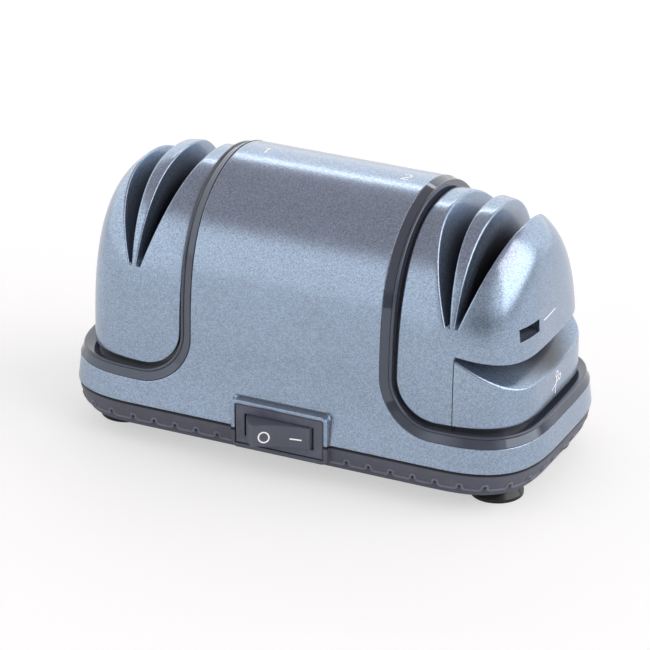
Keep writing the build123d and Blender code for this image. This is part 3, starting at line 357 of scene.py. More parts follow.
# --- main housing ---------------------------------------------------------------------------
def housing_patches():
    """Arch and skirt as one skin. Arch rows follow y = -+arch_half(z) from the front's deck over
    the crown to the back; skirt rows are turns round the plan; all edges are rolled. Single rows
    lie at the tops of the free places behind the switch and the cord's bush."""
    low_z, foot_z = DECK_Z - EDGE_ROLL, SEAM_Z + 0.001
    turn = np.linspace(1.5 * math.pi, math.pi, 26)
    bend_z = CORNER_Z + (CORNER_RADIUS + EDGE_ROLL) * np.sin(turn)
    bend_z = np.concatenate([[low_z, 23.5, 24.1, HOLE_TOP],
                             bend_z[bend_z > HOLE_TOP + 0.5][:-1]])
    z = BODY_HEIGHT - (BODY_HEIGHT - CORNER_Z) * (1 - np.linspace(0, 1, 600)) ** 2
    half = np.concatenate([spots(arch_half(bend_z), bend_z), even(spots(arch_half(z), z), 52)])
    y, z = np.concatenate([half * (-1, 1), half[::-1][1:]]).T[..., None]
    arch = spots(straight_columns(window_edge(z[:, 0], -EDGE_ROLL)), y, z)
    skirt = np.stack([skirt_ring(h) for h in (low_z, 21.8, INLET_TOP, 17.6, SEAM_Z + SEAM_ROLL)])
    foot = blend_strip(skirt[-1], skirt_ring(SEAM_Z), skirt_ring(foot_z, SEAM_ROLL))
    back_in = np.stack([foot[-1], skirt_ring(foot_z, SHELL_TURN_IN)])
    roll = [(-EDGE_ROLL * (1 - k) ** 2, -EDGE_ROLL * k ** 2) for k in np.linspace(0, 1, 5)]
    edge = sweep(roll + [(0.0, -SHELL_TURN_IN)])
    return [arch, (skirt, True), (foot, True), (back_in, True), edge] + mirror_x([edge])


def housing_holes(centres):
    """Faces behind the switch and behind the cord's bush are left out."""
    x, y, z = centres.T
    switch = (np.abs(x) < HOLE_HALF) & (y < -36) & (z < HOLE_TOP)
    inlet = (np.abs(x) < INLET_HALF) & (y > 30) & (z < INLET_TOP)
    return switch | inlet


def frame_path(offset):
    """Line round the switch's upper half at a distance outside the bezel, as x and z: up, round
    the corner, across, and down."""
    half, top = BEZEL_HALF + offset, SWITCH_Z + BEZEL_HEIGHT / 2 + offset
    turn = np.linspace(0, math.pi / 2, 9)
    r = FRAME_CORNER + offset
    up = np.concatenate([spots(-half, np.linspace(SEAM_Z + 0.05, top - r, 10))[:-1],
                         spots(-half + r - r * np.cos(turn), top - r + r * np.sin(turn))])
    over = spots(np.linspace(-half + r, half - r, 22), top)[1:-1]
    return np.concatenate([up, over, (up * (-1, 1))[::-1]])


def switch_frame_patches():
    """Raised frame round the upper half of the switch: inner wall, rounded front rim, outer wall
    and a hollow fillet that runs out into the housing's flank."""
    front, roll = BEZEL_FRONT + FRAME_PROUD, FRAME_ROLL
    inner, outer = 0.12, 1.2

    def row(offset, depth=0.0, above=None):
        """The path at an offset, at a depth or at a distance outside the flank."""
        x, z = frame_path(offset).T
        return spots(x, -depth if above is None else -(flank(z) + above), z)
    rows = [row(inner, front - 2.0), row(inner, front - roll)]
    rows += [row(inner + roll * (1 - math.cos(a)), front - roll + roll * math.sin(a))
             for a in np.linspace(0.3, math.pi / 2, 5)]
    rows += [row(outer + roll * math.sin(a), front - roll + roll * math.cos(a))
             for a in np.linspace(0, math.pi / 2, 5)]
    rows += [row(offset, above=above) for offset, above in (
        (1.55, 0.55), (1.62, 0.32), (1.78, 0.16), (2.02, 0.06), (2.3, 0.02), (2.6, -0.15))]
    return [np.stack(rows)]


def frame_shade(points):
    """Share of painted shade in the hollow round the switch's frame, 1.5 to 2.25 mm outside the
    bezel."""
    x, _, z = points.T
    out = np.maximum(np.abs(x) - BEZEL_HALF, z - SWITCH_Z - BEZEL_HEIGHT / 2)
    return 0.8 * np.clip((out - 1.5) / 0.06, 0, 1) * np.clip((2.25 - out) / 0.3, 0, 1)


def bush_pad_patches():
    """Flat pad behind the cable bush, a rounded plate standing off the housing's back. Each row
    is its outline grown by one size at one depth."""
    rows = []
    for grow, y in ((0.0, 36.0), (0.0, PAD_FRONT - 0.3), (-0.08, PAD_FRONT - 0.1),
                    (-0.25, PAD_FRONT), (-3.25, PAD_FRONT)):
        half, top = PAD_HALF + grow, PAD_TOP + grow
        path = np.array([(-half, SEAM_Z + 0.02), (-half, top - 1.2), (-half + 0.35, top - 0.35),
                         (-half + 1.2, top)])
        x, z = np.concatenate([path, (path * (-1, 1))[::-1]]).T
        rows.append(spots(x, y, z))
    return [np.stack(rows)]


# --- end covers -----------------------------------------------------------------------------
def cover_shape(x, inset=0.0, bulge=0.0):
    """Half width and rise of the right cover at x, with u = (x - start) / length:
    half = W (1 - u^2.61)^(1/4.37), rise = H (1 - u^2.36)^(1/6.07)."""
    u = np.clip((x - DOME_X) / (DOME_LENGTH - inset + bulge), 0, 0.9999999)
    half = (COVER_HALF - inset) * (1 - u ** NOSE_Y) ** (1 / NOSE_YP)
    rise = (COVER_RISE - inset) * (1 - u ** NOSE_Z) ** (1 / NOSE_ZP)
    return half, rise


def climb(z, x, inset=0.0, bulge=0.0):
    """Angle at which the cover's section reaches height z."""
    rise = cover_shape(x, inset, bulge)[1]
    return np.arcsin(np.clip((z - COVER_SPRING_Z) / rise, 0, 1) ** (COVER_POWER_Z / 2))


def cover_point(x, angle, inset=0.0, bulge=0.0):
    """Point of the section at x: y = -half cos^(2/2.29), z = spring + rise sin^(2/3.09)."""
    half, rise = cover_shape(x, inset, bulge)
    y = -half * np.maximum(np.cos(angle), 0.0) ** (2 / COVER_POWER_Y)
    return spots(x, y, COVER_SPRING_Z + rise * np.sin(angle) ** (2 / COVER_POWER_Z))


def section_parts(x, y, z, bulge=0.0):
    """(|y| / half)^2.29 and ((z - spring) / rise)^3.09, which add up to 1 on the surface."""
    half, rise = cover_shape(x, 0.0, bulge)
    return ((np.abs(y) / half) ** COVER_POWER_Y,
            (np.maximum(z - COVER_SPRING_Z, 0) / rise) ** COVER_POWER_Z)


def cover_normal(points, bulge=0.0):
    """Outward direction of the cover's surface, the gradient of the sum of section_parts."""
    x, y, z = points.T
    length = DOME_LENGTH + bulge
    u = np.clip((x - DOME_X) / length, 0, 0.9999999)
    half = cover_shape(x, 0.0, bulge)[0]
    side, up = section_parts(x, y, z, bulge)
    gx = side * COVER_POWER_Y * NOSE_Y / NOSE_YP / length * u ** (NOSE_Y - 1) / (1 - u ** NOSE_Y)
    gx += up * COVER_POWER_Z * NOSE_Z / NOSE_ZP / length * u ** (NOSE_Z - 1) / (1 - u ** NOSE_Z)
    gy = COVER_POWER_Y * (np.abs(y) / half) ** (COVER_POWER_Y - 1) / half * np.sign(y)
    gz = COVER_POWER_Z * up / np.maximum(z - COVER_SPRING_Z, 0.1)
    return unit(spots(gx, gy, gz))


def roof(x):
    """Height at which the right cover ends above the scissor opening."""
    return ROOF_Z + MOUTH_ROLL - ROOF_FALL * (x - GUIDE_SEAM_X)


def ramp(x):
    """Height at which the scissor guide ends below that opening."""
    return RAMP_Z - RAMP_ROLL - RAMP_FALL * (x - GUIDE_SEAM_X)


def sill(x):
    """Height at which a cover ends in the trim's channel along the deck."""
    return np.full_like(x, SILL_Z + EDGE_ROLL)


def row_angle(x, v, foot, inset):
    """Rows 0, 1, 2 and 3 lie at the cover's foot, at the scissor opening's roof, at the slots'
    floor and at the crown. Past x = 62 the two middle rows keep their share of the climb."""
    low = climb(foot(x), x, inset)
    near = np.minimum(x, 62.0)
    low_near = climb(foot(near), near, inset)
    span = math.pi / 2 - low_near
    at_roof = (climb(roof(near), near, inset) - low_near) / span
    at_floor = (climb(SLOT_FLOOR_Z, near, inset) - low_near) / span
    share = np.where(v <= 1, at_roof * v, np.where(
        v <= 2, at_roof + (at_floor - at_roof) * (v - 1), at_floor + (1 - at_floor) * (v - 2)))
    return low + share * (math.pi / 2 - low)


def cover_patch(v, s, side_a, side_b, foot=sill, inset=0.0):
    """Front half of the cover between two guide lines x = side(z): x = a + (b - a) s, where z
    itself depends on x, so the pair is found by repeating the two formulas until they settle."""
    v, s = np.meshgrid(v, s, indexing="ij")
    x = side_a(np.full_like(v, SLOT_FLOOR_Z)) * (1 - s) + side_b(np.full_like(v, 40.0)) * s
    for _ in range(70):
        z = cover_point(x, row_angle(x, v, foot, inset), inset)[..., 2]
        x = 0.5 * x + 0.5 * (side_a(z) * (1 - s) + side_b(z) * s)
    return cover_point(x, row_angle(x, v, foot, inset), inset)


def slot_line(index, offset=0.0):
    """Guide line along a slot's wall: it leans above the slots' floor and is upright below."""
    lean = math.tan(math.radians(SLOT_LEANS[index]))
    start = WHEEL_X + SLOT_EDGES[index] + offset
    return lambda z: start + lean * np.maximum(z - SLOT_FLOOR_Z, 0.0)


def seam_line(offset):
    """As the outer slot line, but in the 5 mm below the slots' floor it leads to the seam."""
    above = slot_line(3, offset)
    return lambda z: above(z) + (GUIDE_SEAM_X - above(0.0)) * np.clip(
        (SLOT_FLOOR_Z - z) / 5.0, 0, 1)


def outer_line(grow):
    """Guide line along the channel beside the trim."""
    return lambda z: window_edge(np.maximum(z, SILL_Z), COVER_EDGE + grow)


def well_top(y):
    """Height of the wheel's well over a line across it, never below the slots' floor."""
    return np.maximum(SLOT_FLOOR_Z, SHAFT_Z + np.sqrt(np.maximum(WELL_RADIUS ** 2 - y ** 2, 0.0)))


ROWS_FOOT = np.linspace(0, 1, 22) ** 2
ROWS_TOP = 2 + np.linspace(0, 1, 40)
ROWS_LOW = np.concatenate([ROWS_FOOT, 1 + np.linspace(0, 1, 7)[1:]])
ROWS_ALL = np.concatenate([ROWS_LOW, ROWS_TOP[1:]])
ROWS_ROOF = ROWS_ALL[len(ROWS_FOOT) - 1:]
ALONG_EDGE, ALONG_FIN, ALONG_GAP = (np.linspace(0, 1, n) for n in (12, 7, 5))


def nose_shares(start, last_root, count, length=DOME_LENGTH):
    """Shares of the way from start to the nose, at even steps of the root c for which the half
    width is W c and u = (1 - c^4.37)^(1/2.61). last_root 0 ends at the nose itself."""
    first = (1 - ((start - DOME_X) / length) ** NOSE_Y) ** (1 / NOSE_YP)
    u = (1 - np.linspace(first, last_root, count) ** NOSE_YP) ** (1 / NOSE_Y)
    return (u - u[0]) / (u[-1] - u[0])


def last_root(level, bulge=0.0):
    """Root c of the largest x at which the section's crown still reaches a sloping level."""
    c = np.linspace(0.02, 0.7, 200001)
    x = DOME_X + (DOME_LENGTH + bulge) * (1 - c ** NOSE_YP) ** (1 / NOSE_Y)
    crown = COVER_SPRING_Z + cover_shape(x, 0.0, bulge)[1]
    k = int(np.argmax(crown >= level(x)))
    return float(c[k]), float(x[k])


def edge_patches(line, bulge=0.0, closed=False):
    """Rolled edge of a cover in the trim's channel: a quarter turn of 0.4 mm away from the skin,
    down to the groove's depth, and back under the trim. A closed line repeats its first point."""
    normal = cover_normal(line, bulge)
    along = direction(line[:-1], True)[np.r_[:len(line) - 1, 0]] if closed else direction(line)
    away = unit(np.cross(along, normal))
    corner = line + away * EDGE_ROLL
    end, deep = corner - normal * EDGE_ROLL, corner - normal * GROOVE
    return [blend_strip(line, corner, end), np.stack([end, deep]),
            np.stack([deep, deep + away * COVER_TUCK])]


def slot_patches(first, second, far_foot=sill):
    """Rolled edges, walls and floor of one knife slot between two guide lines."""
    patches = []
    for index, away, foot in ((first, -1, sill), (second, 1, far_foot)):
        on, off = slot_line(index), slot_line(index, away * SLOT_ROLL)
        start, corner, end = (
            with_back(cover_patch(ROWS_TOP, [0.0], line, line, foot, inset))[:, 0]
            for line, inset in ((off, 0.0), (on, 0.0), (on, SLOT_ROLL)))
        patches.append(blend_strip(start, corner, end))
        _, y, top = end.T
        z = top + (np.minimum(well_top(y), top) - top) * np.linspace(0, 1, 14)[:, None]
        patches.append(spots(on(z), y, z))
    half_gap = math.sqrt(WELL_RADIUS ** 2 - (SLOT_FLOOR_Z - SHAFT_Z) ** 2)
    for side in (-1, 1):
        y = side * np.linspace(-end[0, 1], half_gap, 6)
        patches.append(np.stack([spots(slot_line(k)(0.0), y, SLOT_FLOOR_Z)
                                 for k in (first, second)]))
    rim, inner = (cover_patch([2.0], ALONG_GAP, slot_line(first, -roll), slot_line(second, roll),
                              sill, inset)[0] for roll, inset in ((SLOT_ROLL, 0), (0, SLOT_ROLL)))
    corner = spots(inner[:, 0], rim[:, 1], inner[:, 2])
    return patches + both_sides([blend_strip(rim, corner, inner)])


def well_patches():
    """Ceiling and sides of the wheel's well: arcs of 25.2 mm about the shaft."""
    edge = math.acos((SLOT_FLOOR_Z - SHAFT_Z) / WELL_RADIUS)
    ceiling, wall = np.linspace(-edge, edge, 17), np.linspace(edge, 1.25, 12)

    def arc(angle, a, b):
        """The well's arc over some angles, from one guide line to another."""
        y, z = WELL_RADIUS * np.sin(angle), SHAFT_Z + WELL_RADIUS * np.cos(angle)
        return np.stack([spots(line(z), y, z) for line in (a, b)])
    low, high = (lambda z: WHEEL_X - WELL_HALF), (lambda z: WHEEL_X + WELL_HALF)
    pairs = (low, slot_line(0)), (slot_line(1), slot_line(2)), (slot_line(3), high)
    return [arc(ceiling, *pair) for pair in pairs] + [arc(k * wall, low, high) for k in (-1, 1)]


def recess_shade_share(points, bulge=0.0):
    """Share of painted shade at a point of a cover, which darkens the paint where shade falls:
    none on its skin, full about 8 mm down the slots and round the rim in the trim's channel. In
    the scissor opening that depth counts 2 mm / the local gap times."""
    x, y, z = points.T
    level = sum(section_parts(x, y, z, bulge)) ** (1 / 2.6)
    floor_z = RAMP_Z - RAMP_FALL * (x - GUIDE_SEAM_X)
    gap = np.maximum(ROOF_Z - ROOF_FALL * (x - GUIDE_SEAM_X) - floor_z, 1.0)
    mouth = (x > GUIDE_SEAM_X) & (z > floor_z - 0.6) & (z < floor_z + gap + 0.4)
    depth = SECTION_DEPTH * np.maximum(1 - level, 0) * np.where(mouth, 2.0 / gap, 1.0)
    share = np.clip(depth / SHADE_REACH, 0, 1)
    bend = CORNER_RADIUS - np.hypot(CORNER_X - x, CORNER_Z - z)
    from_window = np.where(x > CORNER_X, z - DECK_Z, np.where(z > CORNER_Z, x - ARCH_END, bend))
    rim = np.clip((COVER_EDGE + 0.20 - from_window) / 0.2, 0, 1)
    return np.maximum(share * share * (3 - 2 * share), rim)


def cover_bands(outer, nose_foot, nose_root):
    """The cover's skin in five bands between its guide lines, and the line of its outer edge."""
    roll = SLOT_ROLL
    far = DOME_X + DOME_LENGTH * (1 - nose_root ** NOSE_YP) ** (1 / NOSE_Y)
    whole = nose_foot is sill
    bands = [(ROWS_ALL, ALONG_EDGE, outer_line(EDGE_ROLL), slot_line(0, -roll)),
             (ROWS_LOW, ALONG_GAP, slot_line(0, -roll), slot_line(1, roll)),
             (ROWS_ALL, ALONG_FIN, slot_line(1, roll), slot_line(2, -roll)),
             (ROWS_LOW, ALONG_GAP, slot_line(2, -roll), outer(roll)),
             (ROWS_ALL if whole else ROWS_ROOF,
              nose_shares(slot_line(3, roll)(0.0), nose_root, 74),
              outer(roll), lambda z: np.full_like(z, far), nose_foot)]
    skins = [cover_patch(*band) for band in bands]
    skins[4][:, -1, 1] = 0.0
    feet = [skin[0, 1:] for skin in (skins if whole else skins[:4])]
    return skins, np.concatenate([skins[0][::-1, 0]] + feet)


def left_cover_patches():
    """Left cover, drawn on the right and mirrored by its caller."""
    skins, edge = cover_bands(lambda offset: slot_line(3, offset), sill, 0.0)
    return (both_sides(skins) + slot_patches(0, 1) + slot_patches(2, 3) + well_patches()
            + edge_patches(with_back(edge), closed=True))


def right_cover_patches():
    """Right cover: as the left one, but beyond the guide's seam it ends at the mouth's roof."""
    skins, edge = cover_bands(seam_line, roof, last_root(roof)[0])
    seam = skins[3][:, -1]
    seam = seam[seam[:, 2] < ROOF_Z + MOUTH_ROLL + 0.01]
    return (both_sides(skins) + slot_patches(0, 1) + slot_patches(2, 3, roof) + well_patches()
            + both_sides(edge_patches(edge)) + seam_faces(seam)
            + mouth_patches(skins[4][0], roof, MOUTH_ROLL, -1, 0.0))


def seam_faces(seam):
    """Faces that turn inwards along the seam between the cover and the guide."""
    return both_sides([np.stack([seam, seam + (0, SEAM_TUCK, 0)])])


def mouth_patches(line, level, roll, side, bulge):
    """Rolled rim and flat face at one side of the scissor opening, along the line where the skin
    ends: side -1 is the roof and 1 the ramp. The face leaves the wheel's well open."""
    def at(points, up):
        """The points on the sloping level, moved up or down, and none behind the middle."""
        return spots(points[:, 0], np.minimum(points[:, 1], 0.0),
                     level(points[:, 0]) + side * up)
    normal = cover_normal(line, bulge) * (1, 1, 0)
    normal[-1] = (1, 0, 0)
    corner, end = at(line, roll), at(line - unit(normal) * roll, roll)
    gap = math.sqrt(WELL_RADIUS ** 2 - (RAMP_Z - SHAFT_Z) ** 2)
    inner = np.where(end[:, 0] < WHEEL_X + WELL_HALF, -gap, 0.0)
    inner = spots(end[:, 0], np.maximum(inner, end[:, 1]), end[:, 2])
    across = np.linspace(0, 1, 12)[:, None, None]
    return both_sides([blend_strip(at(line, 0.0), corner, end), end + (inner - end) * across])


def guide_patches():
    """Scissor guide: the nose below the ramp, standing 1.3 mm proud of the cover at its end."""
    start, bulge = GUIDE_SEAM_X + GUIDE_SEAM_GAP, GUIDE_BULGE
    length = DOME_LENGTH + bulge
    x = start + (DOME_X + length - start) * nose_shares(start, 0.0, 96, length)
    far = last_root(ramp, bulge)[1]
    x = np.sort(np.append(x, far))
    low = climb(sill(x), x, 0.0, bulge)
    high = np.where(x < far, climb(ramp(x), x, 0.0, bulge), math.pi / 2)
    front = cover_point(x, low + (high - low) * np.linspace(0, 1, 28)[:, None], 0.0, bulge)
    front[:, -1, 1] = 0.0
    front[-1, x >= far, 1] = 0.0
    return (both_sides([front] + edge_patches(front[0], bulge)) + seam_faces(front[:, 0])
            + mouth_patches(front[-1][x <= far], ramp, RAMP_ROLL, 1, bulge))


def cut_driver_slot(work):
    """Slanted slot for flat screwdrivers in the right cover's nose: four planes cut the skin
    round it, the faces between them go, and the rim is carried 7 mm inwards."""
    turn = math.radians(DRIVER_TURN)
    outward, side = (Vector((math.cos(a), math.sin(a), 0.0)) for a in (turn, turn + math.pi / 2))
    up = Vector((0, 0, 1))
    centre = Vector(place(DRIVER_AT))
    planes = ((side, DRIVER_HALF_WIDTH), (-side, DRIVER_HALF_WIDTH),
              (up, DRIVER_HALF_HEIGHT), (-up, DRIVER_HALF_HEIGHT))

    def near():
        """The nose's faces round the slot, each with its place seen from the slot's centre."""
        faces = [(f, f.calc_center_median() - centre) for f in work.faces]
        return [(f, at) for f, at in faces if at.length < 16 * MM and at.dot(outward) > -6 * MM]
    for normal, reach in planes:
        faces = [f for f, _ in near()]
        around = dict.fromkeys([*faces, *(e for f in faces for e in f.edges),
                                *(v for f in faces for v in f.verts)])
        bmesh.ops.bisect_plane(work, geom=list(around), dist=1e-7,
                               plane_co=centre + normal * reach * MM, plane_no=normal)
    inside = dict.fromkeys(f for f, at in near() if all(at.dot(n) < r * MM for n, r in planes))
    rim = dict.fromkeys(e for f in inside for e in f.edges
                        if any(other not in inside for other in e.link_faces))
    bmesh.ops.delete(work, geom=list(inside), context="FACES")
    corners = dict.fromkeys(v for e in rim for v in e.verts)
    deep = {v: work.verts.new(v.co - outward * DRIVER_DEPTH * MM) for v in corners}
    for first, second in [e.verts for e in rim]:
        work.faces.new((first, second, deep[second], deep[first]))


# --- trims ----------------------------------------------------------------------------------
def trim_depth():
    """How deep each station of the trim goes before it meets the cover's flange: the first of
    the steps along the inward normal that lies inside the cover, evened out over 9 stations."""
    depth = np.arange(1.0, 9.0, 0.05)
    x, y, z = np.moveaxis(WINDOW - OUT * depth[:, None, None], -1, 0)
    half, rise = cover_shape(np.maximum(x, DOME_X), GROOVE)
    share = np.clip((np.maximum(z, COVER_SPRING_Z) - COVER_SPRING_Z) / rise, 0, 1)
    limit = half * (1 - share ** COVER_POWER_Z) ** (1 / COVER_POWER_Y)
    inside = (np.abs(y) < limit) & (x < DOME_X + DOME_LENGTH - GROOVE - 0.3)
    found = depth[np.where(inside.any(0), inside.argmax(0), len(depth) - 1)] - 0.2
    return np.convolve(np.tile(found, 3), np.ones(9) / 9, "same")[len(found):2 * len(found)]


def trim_patches():
    """Trim ring: a band that falls 1.1 mm towards the cover, a fine groove, and a rounded bead
    as its inner lip, carried round the window's line."""
    depth = trim_depth()
    profile = [(0.1, -depth), (0.1, -0.05), (0.13, 0.05), (0.22, 0.11)]
    profile += [(t, 0.12 - 1.12 * (t - 0.2) / 2.8) for t in (0.45, 1.2, 2.0, 2.6, 2.84)]
    profile += [(2.90, -1.08)]
    profile += [(3.45 + 0.52 * math.cos(a), -1.12 + 0.50 * math.sin(a))
                for a in np.linspace(math.pi * 0.97, 0.0, 13)]
    return [sweep(profile + [(3.97, -1.7), (3.97, -depth)])]


# --- bead along the base band's notched edge ------------------------------------------------
def band_outline(z):
    """Half length and half width of the base's band: it curves in by share^1.6 below its top."""
    top = SEAM_Z - SEAM_GAP
    share = np.clip((top - z) / (top - BASE_Z), 0, 1) ** BAND_CURVE
    return (HALF_LENGTH - SEAM_GAP - BAND_LEAN_X * share,
            HALF_WIDTH - SEAM_GAP - BAND_LEAN_Y * share)


def notch_height(distance):
    """Height of the band's lower edge at a distance from a notch's middle: round top of 0.95 mm,
    sides that flare out by quarter circles of 1 mm."""
    d, r, f = np.abs(distance), NOTCH_RADIUS, NOTCH_FLARE
    top = f + np.sqrt(np.maximum(r ** 2 - d ** 2, 0))
    foot = f - np.sqrt(np.maximum(f ** 2 - np.clip(r + f - d, 0, f) ** 2, 0))
    return BAND_FOOT_Z + np.where(d < r, top, foot)


def band_edge_line():
    """The band's lower edge from the switch round the right end to the cable bush. Notches lie at
    even steps, a whole number of them along the straight part and another round the corner."""
    end, side = band_outline(BAND_FOOT_Z)
    angle = plan_angles(1500)
    x, y = corner_curve(end, side, angle)
    ahead = np.linspace(0, PLAN_STRAIGHT, 800)[:-1]
    fine = np.concatenate([spots(ahead, -side), spots(x, -y)])
    angle = np.concatenate([np.zeros_like(ahead), angle])
    run = run_along(fine)
    straight = round(PLAN_STRAIGHT / NOTCH_PITCH)
    rest = run[-1] - straight * NOTCH_PITCH
    count = round(rest / NOTCH_PITCH)
    marks = np.concatenate([NOTCH_PITCH * np.arange(1, straight + 1),
                            run[-1] - rest * np.arange(count) / count])
    flare = NOTCH_RADIUS + NOTCH_FLARE * np.linspace(0.02, 1, 6) ** 2
    local = np.concatenate([-flare[::-1], -NOTCH_RADIUS * np.cos(np.linspace(0, math.pi, 13)),
                            flare])

    def quarter(start):
        """The edge from a distance along it to the end's middle, finer round each notch."""
        at = [marks[marks > start + 2.5][:, None] + local, np.arange(start, run[-1], 1.3)]
        at = np.unique(np.concatenate([a.ravel() for a in at]).round(4))
        at = at[(at >= start) & (at <= run[-1])]
        z = notch_height(np.abs(at[:, None] - marks[marks > start + 2.0]).min(axis=1))
        theta = np.interp(at, run, angle)
        px, py = corner_curve(*band_outline(z), theta)
        return spots(np.where(theta > 0, px, np.interp(at, run, fine[:, 0])), -py, z)
    return np.concatenate([quarter(17.7), (quarter(8.8) * TO_BACK)[::-1][1:]])


def band_bead_patches():
    """Rounded lip along the band's lower edge: a bar of 0.46 mm, squeezed to 0.9 of that in the
    band's outward direction, that dips into each notch and ends in a fan of faces."""
    line = band_edge_line()
    around = direction(line * (1, 1, 0))
    outward = unit(spots(around[:, 1], -around[:, 0], 0.0))
    line = line - outward * BEAD_SINK
    side = unit(np.cross(direction(line), outward))
    up = unit(np.cross(side, direction(line)))
    angle = np.linspace(0, 2 * math.pi, 10, endpoint=False)[:, None, None]
    rings = np.moveaxis(line + BEAD_RADIUS * (np.cos(angle) * side
                                              + BEAD_FLAT * np.sin(angle) * up), 0, 1)
    ends = [np.stack([np.broadcast_to(line[k], rings[k].shape), rings[k]]) for k in (0, -1)]
    bar = [(grid, True) for grid in (rings, *ends)]
    return bar + mirror_x(bar)


# --- switch rocker --------------------------------------------------------------------------
TIP_X, TIP_Y = (ROCKER_RADIUS * f(math.radians(ROCKER_TIP)) for f in (math.sin, math.cos))


def turned(points):
    """From the rocker's own plan to the body's: a turn of 18 degrees about its pivot."""
    c, s = math.cos(math.radians(ROCKER_TURN)), math.sin(math.radians(ROCKER_TURN))
    x, y, z = np.moveaxis(points, -1, 0)
    return spots(x * c - y * s, ROCKER_PIVOT_Y + x * s + y * c, z)


def rocker_face(x):
    """The hollow face: an arc through both tips at 50 degrees and the valley 6.5 mm out."""
    radius = (TIP_X ** 2 + (TIP_Y - ROCKER_VALLEY) ** 2) / (2 * (TIP_Y - ROCKER_VALLEY))
    return -ROCKER_VALLEY - radius + np.sqrt(radius ** 2 - x ** 2)


def rocker_patches():
    """Rocker: face arc and round ends, closed behind, with 0.35 mm rounded edges all round. Each
    row is the outline moved in by r (1 - sin a) at the height half - r (1 - cos a)."""
    x = np.linspace(-TIP_X, TIP_X, 33)
    turn = np.radians(np.linspace(ROCKER_TIP, ROCKER_BACK, 14))[1:]
    right = ROCKER_RADIUS * spots(np.sin(turn), -np.cos(turn))
    outline = np.concatenate([spots(x, rocker_face(x)), right, (right * (-1, 1))[::-1]])
    fine = even(np.concatenate([outline, outline[:1]]), 181)[:-1]
    along = direction(fine, closed=True)
    inward = spots(-along[:, 1], along[:, 0])
    rows = [(fine + inward * ROCKER_ROLL * (1 - math.sin(a)),
             ROCKER_HALF - ROCKER_ROLL * (1 - math.cos(a)))
            for a in np.linspace(0, math.pi / 2, 5)]
    middle = fine.mean(axis=0)
    rows = [(middle + (rows[0][0] - middle) * k, ROCKER_HALF) for k in (0.0, 0.5)] + rows
    rows += [(p, -z) for p, z in rows[::-1]]
    return [(turned(np.stack([spots(*p.T, z + SWITCH_Z) for p, z in rows])), True)]


# --- printed marks: sheets a few hundredths above the paint, as pad printing is --------------
def ribbon(points, width, lay, closed=False):
    """Flat ribbon along points of a flat drawing, laid on a surface by lay(a, b)."""
    points = np.asarray(points, float)
    along = direction(points, closed)
    across = spots(-along[:, 1], along[:, 0]) * width / 2
    return np.stack([lay(*(points + k * across).T) for k in (-1, 1)]), closed


def circle(a, b, radius, start=0.0, stop=2 * math.pi, count=33):
    """Points round a circle, or round part of one, in a flat drawing."""
    turn = np.linspace(start, stop, count)
    return spots(a + radius * np.cos(turn), b + radius * np.sin(turn))


def on_rocker(x, z):
    """Places just above the rocker's hollow face."""
    return turned(spots(x, rocker_face(x) - MARK_LIFT, z))


def on_crown(x, y):
    """Places just above the arch's crown."""
    return spots(x, y, arch_height(y) + MARK_LIFT)


def on_nose(bulge):
    """Gives lay(y, z), which finds the foremost x of the cover's or the guide's nose over a
    point of its end view by halving, and lies just above it."""
    def lay(y, z):
        """Places just above the nose."""
        low, high = np.full(y.shape, DOME_X), np.full(y.shape, DOME_X + DOME_LENGTH + bulge)
        for _ in range(50):
            x = (low + high) / 2
            inside = sum(section_parts(x, y, z, bulge)) < 1
            low, high = np.where(inside, x, low), np.where(inside, high, x)
        return spots(low + MARK_LIFT, y, z)
    return lay


def rocker_mark_patches():
    """A ring on the left of the rocker's face, narrowed to 0.93, and a bar on its right."""
    ring = circle(0, 16.51, 1.85)[:-1] * (0.93, 1) - (5.53, 0)
    bar = spots(np.linspace(2.94, 7.04, 8), 16.38)
    return [ribbon(ring, 0.5, on_rocker, True), ribbon(bar, 0.5, on_rocker)]


def one_patches(x, y):
    """Numeral 1: an upright and its flag."""
    stem = even(np.array([(x + 0.4, y - 2.3), (x + 0.4, y + 2.3)]), 8)
    flag = even(np.array([(x + 0.16, y + 2.05), (x - 0.8, y + 1.25)]), 4)
    return [ribbon(stem, 0.60, on_crown), ribbon(flag, 0.52, on_crown)]


def two_patches(x, y):
    """Numeral 2: an arc that runs on into a slope, and a foot."""
    arc = circle(x, y + 0.95, 1.2, math.pi * 0.95, -math.pi * 0.17, 17)
    slope = even(np.array([arc[-1], (x - 1.2, y - 1.85)]), 6)[1:]
    foot = even(np.array([(x - 1.5, y - 2.05), (x + 1.4, y - 2.05)]), 5)
    return [ribbon(np.concatenate([arc, slope]), 0.58, on_crown), ribbon(foot, 0.52, on_crown)]


def nose_mark_patches():
    """Bar beside the screwdriver slot."""
    y = np.linspace(-8.5, 0.5, 12)
    return [ribbon(spots(y, 59.2 + 0.055 * (y + 8.5)), 0.42, on_nose(0.0))]


def scissor_sign_patches():
    """Plain scissors sign: two crossing blades, each ending in a ring handle."""
    c, s = math.cos(math.radians(-38.0)), math.sin(math.radians(-38.0))

    def slanted(points):
        """The drawing turned by 38 degrees and moved to its place on the guide."""
        a, b = np.asarray(points, float).T
        return spots(-0.5 + a * c - b * s, 34.0 + a * s + b * c)
    patches = []
    for side in (-1, 1):
        blade = slanted([(side * 1.7, -3.6), (-side * 1.0, 1.4)])
        ring = slanted(circle(-side * 1.5, 2.3, 0.95)[:-1])
        patches += [ribbon(even(blade, 10), 0.42, on_nose(GUIDE_BULGE)),
                    ribbon(ring, 0.38, on_nose(GUIDE_BULGE), True)]
    return patches


